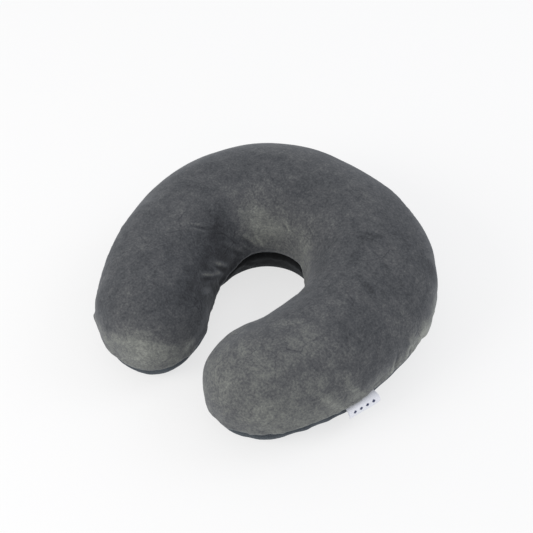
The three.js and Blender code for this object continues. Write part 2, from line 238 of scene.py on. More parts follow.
def add(tree: bpy.types.NodeTree, kind: str, links: dict | None = None,
        **settings: object) -> bpy.types.Node:
    """Add a node with its settings, constant inputs and links.

    Args:
        tree: The material's node tree.
        kind: Blender's node type.
        links: Input name or index, to a value or to an output socket.
        settings: Attributes of the node itself.

    Returns:
        The new node.
    """
    node = tree.nodes.new(kind)
    for name, value in settings.items():
        setattr(node, name, value)
    for name, value in (links or {}).items():
        if isinstance(value, bpy.types.NodeSocket):
            tree.links.new(value, node.inputs[name])
        else:
            node.inputs[name].default_value = value
    return node


def per_metre(millimetres: float) -> float:
    """Texture scale for a pattern that repeats at this real size."""
    return 1 / (millimetres * MM)


def ramp(tree: bpy.types.NodeTree, source: bpy.types.NodeSocket,
         stops: Sequence[tuple[float, str]]) -> bpy.types.NodeSocket:
    """Map a number to colours given as sRGB hex at their places from 0 to 1."""
    node = add(tree, "ShaderNodeValToRGB", {"Fac": source})
    elements = node.color_ramp.elements
    while len(elements) < len(stops):
        elements.new(0.5)
    for element, (place, code) in zip(elements, stops):
        element.position = place
        element.color = srgb(code)
    return node.outputs["Color"]


@dataclass(frozen=True)
class Finish:
    """What every finish shares: a name, and a principled surface that is the same all over."""

    name: str
    roughness: float = 0.8
    metallic: float = 0.0
    sheen: float = 0.0
    sheen_roughness: float = 0.4
    sheen_tint: str = "#FFFFFF"
    specular: float = 0.5
    ior: float = 1.5

    def start(self) -> tuple[bpy.types.Material, bpy.types.NodeTree, bpy.types.Node, bpy.types.NodeSocket]:
        """Make the material with its constant sockets set.

        Returns:
            The material, its tree, the principled node and the object coordinates.
        """
        material = bpy.data.materials.new(self.name)
        material.use_nodes = True
        tree = material.node_tree
        surface = tree.nodes["Principled BSDF"]
        constants = {
            "Roughness": self.roughness,
            "Metallic": self.metallic,
            "Sheen Weight": self.sheen,
            "Sheen Roughness": self.sheen_roughness,
            "Sheen Tint": srgb(self.sheen_tint),
            "Specular IOR Level": self.specular,
            "IOR": self.ior,
        }
        for socket, value in constants.items():
            surface.inputs[socket].default_value = value
        place = add(tree, "ShaderNodeTexCoord").outputs["Object"]
        return material, tree, surface, place


@dataclass(frozen=True)
class Velour(Finish):
    """Knitted polyester velour, cut pile about 1 mm: matt and mottled where the pile leans
    different ways, lighter and slightly olive where painted sheen lies on it and darker where
    painted shade lies on it, both read from the pile attribute, with faint lines where it was
    once folded, painted darker as shade in them, and a soft sheen at its rims."""

    # The lightest, olive stops are reached mostly where the pile attribute adds painted sheen.
    tones: tuple[tuple[float, str], ...] = (
        (0.0, "#1F2022"), (0.25, "#313235"), (0.42, "#424447"),
        (0.58, "#525355"), (0.78, "#6C6E6B"), (1.0, "#8A8C86"))
    cloud_mm: float = 46.0
    streak_mm: float = 7.0
    tuft_mm: float = 1.9
    crease_mm: float = 21.0

    def build(self) -> bpy.types.Material:
        """Make the material; it reads the pile attribute of the cloth."""
        material, tree, surface, place = self.start()
        clouds = add(tree, "ShaderNodeTexNoise", {
            "Vector": place, "Scale": per_metre(self.cloud_mm), "Detail": 3.0,
            "Roughness": 0.55, "Distortion": 0.6})
        streaks = add(tree, "ShaderNodeTexNoise", {
            "Vector": place, "Scale": per_metre(self.streak_mm), "Detail": 2.0,
            "Roughness": 0.55, "Distortion": 0.3})
        tufts = add(tree, "ShaderNodeTexNoise", {
            "Vector": place, "Scale": per_metre(self.tuft_mm), "Detail": 2.0, "Roughness": 0.7})
        wander = add(tree, "ShaderNodeVectorMath", {
            0: streaks.outputs["Color"], 1: (4 * MM, 4 * MM, 4 * MM), 2: place}, operation="MULTIPLY_ADD")
        cells = add(tree, "ShaderNodeTexVoronoi", {
            "Vector": wander.outputs[0], "Scale": per_metre(self.crease_mm)}, feature="DISTANCE_TO_EDGE")
        line = add(tree, "ShaderNodeMapRange", {
            "Value": cells.outputs["Distance"], "From Min": 0.0, "From Max": 0.045,
            "To Min": 1.0, "To Max": 0.0},
            interpolation_type="SMOOTHSTEP")
        where = add(tree, "ShaderNodeMapRange", {
            "Value": clouds.outputs["Fac"], "From Min": 0.47, "From Max": 0.62,
            "To Min": 0.0, "To Max": 1.0})
        lines = add(tree, "ShaderNodeMath", {0: line.outputs[0], 1: where.outputs[0]}, operation="MULTIPLY")
        mottle = (
            (clouds.outputs["Fac"], 0.42), (streaks.outputs["Fac"], 0.34), (tufts.outputs["Fac"], 0.62))
        # The pile attribute adds painted sheen and painted shade to the tone; the crease lines take a little
        # off as painted shade.
        pile = add(tree, "ShaderNodeAttribute", attribute_name="pile")
        tone = add(tree, "ShaderNodeMath", {0: lines.outputs[0], 1: -0.11, 2: pile.outputs["Fac"]},
                   operation="MULTIPLY_ADD").outputs[0]
        for noise_value, share in mottle:
            centred = add(tree, "ShaderNodeMath", {0: noise_value, 1: 0.5}, operation="SUBTRACT")
            tone = add(tree, "ShaderNodeMath", {0: centred.outputs[0], 1: share, 2: tone},
                       operation="MULTIPLY_ADD").outputs[0]
        tree.links.new(ramp(tree, tone, self.tones), surface.inputs["Base Color"])
        coarse = add(tree, "ShaderNodeBump", {
            "Height": streaks.outputs["Fac"], "Strength": 0.25, "Distance": 0.9 * MM})
        folded = add(tree, "ShaderNodeBump", {
            "Height": lines.outputs[0], "Strength": 0.45, "Distance": 0.6 * MM,
            "Normal": coarse.outputs[0]},
            invert=True)
        fine = add(tree, "ShaderNodeBump", {
            "Height": tufts.outputs["Fac"], "Strength": 0.6, "Distance": 0.35 * MM,
            "Normal": folded.outputs[0]})
        tree.links.new(fine.outputs[0], surface.inputs["Normal"])
        return material


@dataclass(frozen=True)
class BaseKnit(Finish):
    """Warp knitted polyester of the base panel: smooth, tight and matt, with painted shade that
    darkens it round the neck hole, and fine ribs drawn coarser than the real 0.6 mm so that they show."""

    # deep is the colour of the painted shade round the neck hole.
    deep: str = "#0C0D0F"
    dark: str = "#24282C"
    light: str = "#4B5157"
    rib_mm: float = 1.2
    cloud_mm: float = 30.0

    def build(self) -> bpy.types.Material:
        """Make the material."""
        material, tree, surface, place = self.start()
        clouds = add(tree, "ShaderNodeTexNoise", {
            "Vector": place, "Scale": per_metre(self.cloud_mm), "Detail": 3.0})
        grain = add(tree, "ShaderNodeTexNoise", {
            "Vector": place, "Scale": per_metre(self.rib_mm), "Detail": 1.0})
        blend = add(tree, "ShaderNodeMath", {
            0: grain.outputs["Fac"], 1: 0.5, 2: 0.0}, operation="MULTIPLY_ADD")
        both = add(tree, "ShaderNodeMath", {
            0: clouds.outputs["Fac"], 1: 0.5, 2: blend.outputs[0]}, operation="MULTIPLY_ADD")
        # The pile attribute carries the painted shade round the neck hole.
        pile = add(tree, "ShaderNodeAttribute", attribute_name="pile")
        tone = add(tree, "ShaderNodeMath", {0: both.outputs[0], 1: pile.outputs["Fac"]}, operation="ADD")
        shades = [(0.3, self.deep), (0.62, self.dark), (1.1, self.light)]
        tree.links.new(ramp(tree, tone.outputs[0], shades),
                       surface.inputs["Base Color"])
        ribs = add(tree, "ShaderNodeTexWave", {
            "Vector": place, "Scale": per_metre(self.rib_mm) / 6.28, "Distortion": 0.4},
            bands_direction="X")
        bump = add(tree, "ShaderNodeBump", {
            "Height": ribs.outputs["Fac"], "Strength": 0.25, "Distance": 0.2 * MM})
        tree.links.new(bump.outputs[0], surface.inputs["Normal"])
        return material


@dataclass(frozen=True)
class Stockinette(Finish):
    """Thin circular knitted cotton of the liner: off white, soft, with small loops."""

    dark: str = "#C9C6BD"
    light: str = "#E6E4DD"
    loop_mm: float = 1.6

    def build(self) -> bpy.types.Material:
        """Make the material."""
        material, tree, surface, place = self.start()
        loops = add(tree, "ShaderNodeTexVoronoi", {"Vector": place, "Scale": per_metre(self.loop_mm)})
        tree.links.new(ramp(tree, loops.outputs["Distance"], [(0.1, self.light), (0.8, self.dark)]),
                       surface.inputs["Base Color"])
        bump = add(tree, "ShaderNodeBump", {
            "Height": loops.outputs["Distance"], "Strength": 0.4, "Distance": 0.3 * MM}, invert=True)
        tree.links.new(bump.outputs[0], surface.inputs["Normal"])
        return material


@dataclass(frozen=True)
class MemoryFoam(Finish):
    """Moulded viscoelastic polyurethane foam: cream, matt, open cells under a thin skin."""

    dark: str = "#D2C49B"
    light: str = "#EFE6CB"
    cell_mm: float = 1.4

    def build(self) -> bpy.types.Material:
        """Make the material."""
        material, tree, surface, place = self.start()
        cells = add(tree, "ShaderNodeTexVoronoi", {"Vector": place, "Scale": per_metre(self.cell_mm)})
        tree.links.new(ramp(tree, cells.outputs["Distance"], [(0.0, self.dark), (0.5, self.light)]),
                       surface.inputs["Base Color"])
        bump = add(tree, "ShaderNodeBump", {
            "Height": cells.outputs["Distance"], "Strength": 0.6, "Distance": 0.5 * MM})
        tree.links.new(bump.outputs[0], surface.inputs["Normal"])
        return material


@dataclass(frozen=True)
class WovenTape(Finish):
    """Woven polyester zip tape: dull, with a herringbone of 0.8 mm threads."""

    dark: str = "#222428"
    light: str = "#3B3D43"
    thread_mm: float = 0.8

    def build(self) -> bpy.types.Material:
        """Make the material."""
        material, tree, surface, place = self.start()
        weave = add(tree, "ShaderNodeTexWave", {
            "Vector": place, "Scale": per_metre(self.thread_mm) / 6.28, "Distortion": 1.0, "Detail": 1.0},
            bands_direction="DIAGONAL")
        tree.links.new(ramp(tree, weave.outputs["Fac"], [(0.2, self.dark), (0.8, self.light)]),
                       surface.inputs["Base Color"])
        bump = add(tree, "ShaderNodeBump", {
            "Height": weave.outputs["Fac"], "Strength": 0.5, "Distance": 0.15 * MM})
        tree.links.new(bump.outputs[0], surface.inputs["Normal"])
        return material


@dataclass(frozen=True)
class NylonMonofilament(Finish):
    """Drawn nylon wire of the zip coil: dyed dark, smooth, half gloss."""

    colour: str = "#1E2024"
    worn: str = "#34363B"
    rub_mm: float = 9.0

    def build(self) -> bpy.types.Material:
        """Make the material."""
        material, tree, surface, place = self.start()
        rub = add(tree, "ShaderNodeTexNoise", {
            "Vector": place, "Scale": per_metre(self.rub_mm), "Detail": 3.0})
        tree.links.new(ramp(tree, rub.outputs["Fac"], [(0.4, self.colour), (0.75, self.worn)]),
                       surface.inputs["Base Color"])
        return material


@dataclass(frozen=True)
class PlatedZinc(Finish):
    """Die cast zinc with gunmetal plating: satin, with fine tumbling marks that catch light."""

    dark: str = "#5B5C60"
    bright: str = "#77787C"
    mark_mm: float = 0.4

    def build(self) -> bpy.types.Material:
        """Make the material."""
        material, tree, surface, place = self.start()
        marks = add(tree, "ShaderNodeTexNoise", {
            "Vector": place, "Scale": per_metre(self.mark_mm), "Detail": 5.0, "Roughness": 0.7})
        tree.links.new(ramp(tree, marks.outputs["Fac"], [(0.3, self.dark), (0.75, self.bright)]),
                       surface.inputs["Base Color"])
        gloss = add(tree, "ShaderNodeMapRange", {
            "Value": marks.outputs["Fac"], "From Min": 0.3, "From Max": 0.7, "To Min": 0.2, "To Max": 0.34})
        tree.links.new(gloss.outputs[0], surface.inputs["Roughness"])
        bump = add(tree, "ShaderNodeBump", {
            "Height": marks.outputs["Fac"], "Strength": 0.06, "Distance": 0.05 * MM})
        tree.links.new(bump.outputs[0], surface.inputs["Normal"])
        return material


@dataclass(frozen=True)
class DamaskLabel(Finish):
    """Damask woven polyester ribbon: white satin ground with fine weft ribs, and a plain row
    of navy lozenges woven in where the motif attribute says so."""

    ground: str = "#EEEFF4"
    shade: str = "#D6D9E2"
    motif: str = "#2E3557"
    weft_mm: float = 0.55

    def build(self) -> bpy.types.Material:
        """Make the material; it reads the motif attribute of the ribbon."""
        material, tree, surface, place = self.start()
        weft = add(tree, "ShaderNodeTexNoise", {
            "Vector": place, "Scale": per_metre(self.weft_mm), "Detail": 2.0})
        cloth = ramp(tree, weft.outputs["Fac"], [(0.3, self.shade), (0.62, self.ground)])
        woven = add(tree, "ShaderNodeAttribute", attribute_name="motif")
        colour = add(tree, "ShaderNodeMix", {
            0: woven.outputs["Fac"], 6: cloth, 7: srgb(self.motif)}, data_type="RGBA")
        tree.links.new(colour.outputs[2], surface.inputs["Base Color"])
        bump = add(tree, "ShaderNodeBump", {
            "Height": weft.outputs["Fac"], "Strength": 0.35, "Distance": 0.12 * MM})
        tree.links.new(bump.outputs[0], surface.inputs["Normal"])
        return material


@dataclass(frozen=True)
class SpunThread(Finish):
    """Spun polyester sewing thread: dull and slightly hairy, twisted about once a millimetre."""

    dark: str = "#26282B"
    light: str = "#404347"
    twist_mm: float = 1.0

    def build(self) -> bpy.types.Material:
        """Make the material."""
        material, tree, surface, place = self.start()
        twist = add(tree, "ShaderNodeTexNoise", {
            "Vector": place, "Scale": per_metre(self.twist_mm), "Detail": 1.0})
        tree.links.new(ramp(tree, twist.outputs["Fac"], [(0.35, self.dark), (0.65, self.light)]),
                       surface.inputs["Base Color"])
        return material


@dataclass(frozen=True)
class LightTable(Finish):
    """Opal acrylic light table under the pillow: matt and nearly white, lit from below so
    that shadows on it stay faint."""

    colour: str = "#8A8A8A"
    glow: str = "#FFFFFF"
    glow_strength: float = 0.69

    def build(self) -> bpy.types.Material:
        """Make the material."""
        material, _, surface, _ = self.start()
        surface.inputs["Base Color"].default_value = srgb(self.colour)
        surface.inputs["Emission Color"].default_value = srgb(self.glow)
        surface.inputs["Emission Strength"].default_value = self.glow_strength
        return material


VELOUR = Velour(
    "velour_pile", roughness=0.95, sheen=0.26, sheen_roughness=0.5, sheen_tint="#CBCFD4", specular=0.12)
BASE_KNIT = BaseKnit("warp_knit_base", roughness=0.85, sheen=0.07, sheen_tint="#C4D4E0", specular=0.15)
STOCKINETTE = Stockinette("cotton_stockinette", roughness=0.95, sheen=0.2, specular=0.2)
MEMORY_FOAM = MemoryFoam("moulded_memory_foam", roughness=0.95, specular=0.2)
WOVEN_TAPE = WovenTape("woven_polyester_tape", roughness=0.85, sheen=0.15, specular=0.3)
NYLON = NylonMonofilament("drawn_nylon_coil", roughness=0.38, ior=1.53)
PLATED_ZINC = PlatedZinc("gunmetal_plated_zinc", roughness=0.32, metallic=1.0)
DAMASK = DamaskLabel("damask_woven_ribbon", roughness=0.7, sheen=0.3, specular=0.35)
THREAD = SpunThread("spun_polyester_thread", roughness=0.85, sheen=0.3, specular=0.3)
LIGHT_TABLE = LightTable("opal_acrylic_light_table", roughness=0.9, specular=0.1)


# ---------------------------------------------------------------------------------------------
# The pillow's form: ribs that stand on the centreline and point to the outline
# ---------------------------------------------------------------------------------------------


class Face(Enum):
    """The two sides of the U."""

    OUTER = 1
    INNER = -1


class Panel(Enum):
    """The two cloth panels that meet in the seam, and which way each goes from it."""

    TOP = 1
    BOTTOM = -1


@dataclass(frozen=True)
class Swell:
    """A place where the padding stands prouder than the plan, or less if negative."""

    place: tuple[float, float, float]
    reach: float
    height: float


@dataclass
class Ribs:
    """Places round the outline, one entry each."""

    point: Array
    direction: Array
    width: Array
    height: Array
    seam: Array
    along: Array
    face: Array
    run: Array = field(default_factory=lambda: np.zeros(0))

    def measured(self) -> "Ribs":
        """Fill in the distance run along the outline, in metres, and return itself."""
        edge = self.point + self.direction * self.width[:, None]
        steps = np.linalg.norm(np.diff(edge, axis=0), axis=1)
        self.run = np.concatenate([[0.0], np.cumsum(steps)])
        return self


@dataclass
class PillowForm:
    """The outer form of the pillow, with the driving sizes of the design in metres."""

    arc_radius: float = 93.5 * MM
    back_radius: float = 150.0 * MM
    arc_half_angle: float = math.radians(92.6)
    arm_radius: float = 154.5 * MM
    arm_length: float = 90.0 * MM
    width_tip: float = 50.5 * MM
    taper_start: float = 0.45
    cap_length: float = 56.0 * MM
    cap_power: float = 1.92
    height_tip: float = 89.5 * MM
    widest_at: float = 0.445
    crown_power: float = 2.12
    base_corner: float = 16.5 * MM
    seam_arm: float = 26.0 * MM
    seam_tip: float = 21.0 * MM
    seam_dip: tuple[float, float] = (0.36, 0.76)
    tuck_right: float = 2.6 * MM
    tuck_left: float = 1.6 * MM
    tuck_from: tuple[float, float] = (0.4, 0.4)
    held_from: tuple[float, float] = (0.33, 0.12)
    held_share: float = 0.85
    held_reach: float = 16.0 * MM
    swells: tuple["Swell", ...] = ()

    def __post_init__(self) -> None:
        """Take the places that the frame gives: the arc's centre, the seam and the crown."""
        zip_run = next(j for j in frame["joints"] if j["name"] == "zip_run")
        self.centre_y = zip_run["pos_m"][1]
        self.seam_back = zip_run["pos_m"][2]
        self.height_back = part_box("cover_top")[1].z
        self.width_back = self.back_radius - self.arc_radius
        self.back_length = self.arc_radius * self.arc_half_angle
        self.half_length = self.back_length + self.arm_length

    def centreline(self, along: Array) -> tuple[Array, Array, Array]:
        """Follow the centreline of the U.

        Args:
            along: Distance from the middle of the back, positive towards +X.

        Returns:
            Points, outward directions and forward directions, in plan.
        """
        far = np.abs(along)
        side = np.where(along < 0, -1.0, 1.0)
        back = np.minimum(far, self.back_length) / self.arc_radius
        turn = back + np.maximum(far - self.back_length, 0) / self.arm_radius
        corner = self.arc_half_angle
        on_arm = turn > corner
        x = self.arc_radius * np.sin(back) + on_arm * self.arm_radius * (np.sin(turn) - math.sin(corner))
        y = self.arc_radius * np.cos(back) + on_arm * self.arm_radius * (np.cos(turn) - math.cos(corner))
        point = np.stack([side * x, y + self.centre_y], axis=-1)
        outward = np.stack([side * np.sin(turn), np.cos(turn)], axis=-1)
        ahead = np.stack([side * np.cos(turn), -np.sin(turn)], axis=-1)
        return point, outward, ahead

    def side_ribs(self, along: Array, face: Face) -> Ribs:
        """Ribs on one side of the U at the given places along the centreline."""
        share = np.abs(along) / self.half_length
        point, outward, _ = self.centreline(along)
        taper = ease((share - self.taper_start) / (1 - self.taper_start))
        return Ribs(
            point=point,
            direction=outward * face.value,
            width=self.width_back + (self.width_tip - self.width_back) * taper,
            height=self.height_back + (self.height_tip - self.height_back) * ease(share),
            seam=self.seam_back + (self.seam_arm - self.seam_back) * ease(
                (share - self.seam_dip[0]) / (self.seam_dip[1] - self.seam_dip[0])),
            along=along,
            face=np.full(len(along), float(face.value)),
        )

    def cap_ribs(self, end: float, count: int) -> Ribs:
        """Ribs fanned round one arm's end, from its outer side to its inner side."""
        turn = np.pi * np.arange(1, count) / count
        point, outward, ahead = self.centreline(np.full(count - 1, end * self.half_length))
        across, forward = np.cos(turn), np.sin(turn)
        power = (np.abs(across) / self.width_tip) ** self.cap_power
        power = power + (forward / self.cap_length) ** self.cap_power
        return Ribs(
            point=point,
            direction=outward * across[:, None] + ahead * forward[:, None],
            width=power ** (-1 / self.cap_power),
            height=np.full(count - 1, self.height_tip),
            seam=self.seam_arm + (self.seam_tip - self.seam_arm) * forward ** 2,
            along=np.full(count - 1, end * self.half_length),
            face=across,
        )

    def around(self, steps: int, cap: int) -> Ribs:
        """Ribs all round the outline as a closed loop.

        Args:
            steps: Steps along the centreline from one arm's end to the other.
            cap: Steps round each arm's end.

        Returns:
            The ribs: outer side, right end, inner side, left end.
        """
        along = np.linspace(-self.half_length, self.half_length, steps + 1)
        parts = [
            self.side_ribs(along, Face.OUTER),
            self.cap_ribs(1.0, cap),
            self.side_ribs(along[::-1], Face.INNER),
            self.cap_ribs(-1.0, cap),
        ]
        parts[3] = Ribs(*[getattr(parts[3], name)[::-1] for name in
                          ("point", "direction", "width", "height", "seam", "along", "face")])
        return Ribs(*[np.concatenate([getattr(part, name) for part in parts]) for name in
                      ("point", "direction", "width", "height", "seam", "along", "face")]).measured()

    def profile(self, ribs: Ribs, panel: Panel, gap: Array, samples: int = 160) -> tuple[Array, Array]:
        """Dense section curves, from the seam's edge to the crown or to the base's centre.

        Args:
            ribs: The ribs.
            panel: Top goes up to the crown, bottom goes down to the middle of the base.
            gap: Half the opening between the panels' edges at each rib.
            samples: Points on each stretch of the curve.

        Returns:
            Distance from the centreline and height, one row per rib.
        """
        widest = self.widest_at * ribs.height[:, None]
        edge = (ribs.seam + panel.value * gap)[:, None]
        share = np.linspace(0, 1, samples)[None, :]
        width = ribs.width[:, None]
        if panel is Panel.TOP:
            start = np.arcsin(np.clip(1 - edge / widest, -1, 1))
            low = start * (1 - share)
            across_low = width - self.base_corner * (1 - np.cos(low))
            up_low = widest * (1 - np.sin(low))
            turn = share * math.pi / 2
            spread = 2 / self.crown_power
            across_high = width * np.maximum(np.cos(turn), 0) ** spread
            across_high[:, -1] = 0
            up_high = widest + (ribs.height[:, None] - widest) * np.sin(turn) ** spread
            return (np.concatenate([across_low, across_high[:, 1:]], axis=1),
                    np.concatenate([up_low, up_high[:, 1:]], axis=1))
        start = np.arcsin(np.clip(1 - edge / widest, -1, 1))
        low = start + (math.pi / 2 - start) * share
        across_low = width - self.base_corner * (1 - np.cos(low))
        up_low = widest * (1 - np.sin(low))
        flat = (width - self.base_corner) * (1 - share)
        return (np.concatenate([across_low, flat[:, 1:]], axis=1),
                np.concatenate([up_low, np.zeros_like(flat[:, 1:])], axis=1))

    def sheet(self, ribs: Ribs, panel: Panel, gap: Array, rises: Array) -> tuple[Array, Array, Array]:
        """Points of one panel and their outward normals.

        Args:
            ribs: The ribs.
            panel: Which panel.
            gap: Half the opening between the edges at each rib.
            rises: Shares of the section's length from the seam, from 0 to 1.

        Returns:
            Points and normals shaped (rib, level, 3), and each level's distance from the seam.
        """
        across, up = self.profile(ribs, panel, gap)
        step = np.hypot(np.diff(across, axis=1), np.diff(up, axis=1))
        length = np.concatenate([np.zeros((len(step), 1)), np.cumsum(step, axis=1)], axis=1)
        slope_across = np.gradient(across, axis=1)
        slope_up = np.gradient(up, axis=1)
        size = np.hypot(slope_across, slope_up) + 1e-12
        normal_across = panel.value * slope_up / size
        normal_up = -panel.value * slope_across / size
        normal_across[:, -1] = 0.0
        normal_up[:, -1] = float(panel.value)
        rows = []
        for at in range(len(across)):
            goal = rises * length[at, -1]
            rows.append([np.interp(goal, length[at], values[at]) for values in
                         (across, up, normal_across, normal_up)] + [goal])
        table = np.array(rows)
        share = ease((np.abs(ribs.along) / self.half_length - self.tuck_from[0]) / self.tuck_from[1])
        tuck = np.where(ribs.along > 0, self.tuck_right, self.tuck_left) * share
        below = ease(1 - table[:, 1] / ribs.seam[:, None])
        shrink = tuck[:, None] * below * table[:, 0] / ribs.width[:, None]
        plan = ribs.point[:, None, :] + ribs.direction[:, None, :] * (table[:, 0] - shrink)[..., None]
        points = np.concatenate([plan, table[:, 1, :, None]], axis=2)
        level = table[:, 2, :, None] * ribs.direction[:, None, :]
        normals = np.concatenate([level, table[:, 3, :, None]], axis=2)
        normals /= np.linalg.norm(normals, axis=2, keepdims=True)
        extra = np.zeros(points.shape[:2])
        for swell in self.swells:
            gap = np.linalg.norm(points - np.array(swell.place) * MM, axis=2)
            extra += swell.height * MM * bell(gap, swell.reach * MM)
        # The swells fade out at the zip, so that the slider and its pull run clear of the cloth.
        behind = 1 - ease((np.abs(ribs.along) / self.half_length - self.held_from[0]) / self.held_from[1])
        held = np.where(ribs.face > 0.99, behind, 0.0)
        extra *= 1 - self.held_share * held[:, None] * bell(table[:, 4], self.held_reach)
        return points + normals * extra[..., None], normals, table[:, 4, :]


def level_shares(count: int, crowding: float) -> Array:
    """Shares from 0 to 1 that lie closer together near the seam."""
    t = np.linspace(0, 1, count)
    return t * (1 - crowding) + crowding * t ** 2.2


# ---------------------------------------------------------------------------------------------
# Studio
# ---------------------------------------------------------------------------------------------


@dataclass
class Studio:
    """Camera, lights, backdrop and floor."""

    azimuth: float = math.radians(35.61)
    elevation: float = math.radians(49.98)
    distance: float = 0.9328
    lens: float = 68.27
    aim_height: float = 0.0423
    shift: tuple[float, float] = (-0.0016, 0.0218)
    floor_size: float = 12.0

    def set_camera(self, form: PillowForm) -> None:
        """Stand the camera at the viewing angle and make it the scene's camera."""
        aim = Vector((0.0, form.centre_y, self.aim_height))
        back = Vector((
            math.sin(self.azimuth) * math.cos(self.elevation),
            -math.cos(self.azimuth) * math.cos(self.elevation),
            math.sin(self.elevation),
        ))
        data = bpy.data.cameras.new("camera")
        data.lens = self.lens
        data.sensor_width = 36.0
        data.shift_x, data.shift_y = self.shift
        camera = bpy.data.objects.new("camera", data)
        camera.location = aim + back * self.distance
        camera.rotation_mode = "QUATERNION"
        camera.rotation_quaternion = (-back).to_track_quat("-Z", "Y")
        bpy.context.scene.collection.objects.link(camera)
        bpy.context.scene.camera = camera

    def add_light(self, name: str, place: Vector, size: float, power: float, colour: str) -> None:
        """Hang one soft square light, aimed at the pillow.

        Args:
            name: Light name.
            place: Where it hangs.
            size: Side of its square.
            power: Watts.
            colour: Its colour as sRGB hex.
        """
        data = bpy.data.lights.new(name, "AREA")
        data.size = size
        data.energy = power
        data.color = srgb(colour)[:3]
        lamp = bpy.data.objects.new(name, data)
        lamp.location = place
        lamp.rotation_mode = "QUATERNION"
        lamp.rotation_quaternion = (Vector((0, 0, 0.04)) - place).to_track_quat("-Z", "Y")
        bpy.context.scene.collection.objects.link(lamp)

    def light(self) -> None:
        """Add the softboxes and an even white surround."""
        self.add_light("softbox_front_left", Vector((-0.75, -1.35, 0.95)), 0.9, 15.0, "#FFFDF8")
        self.add_light("softbox_back_right", Vector((0.9, 1.1, 1.3)), 1.0, 7.0, "#F4F8FF")
        world = bpy.data.worlds.new("studio")
        world.use_nodes = True
        surround = world.node_tree.nodes["Background"]
        surround.inputs["Color"].default_value = srgb("#FCFCFF")
        surround.inputs["Strength"].default_value = 0.80
        bpy.context.scene.world = world
        bpy.context.scene.view_settings.view_transform = "Standard"

    def lay_floor(self) -> None:
        """Lay the pale light table that the pillow rests on."""
        half = self.floor_size / 2
        low = -0.0004
        corners = [(-half, -half, low), (half, -half, low), (half, half, low), (-half, half, low)]
        board = make_mesh("studio_floor", np.array(corners), [[0, 1, 2, 3]])
        dress(board, LIGHT_TABLE.build())


# ---------------------------------------------------------------------------------------------
# Padding: how the cloth swells over the foam and gathers at the seam
# ---------------------------------------------------------------------------------------------


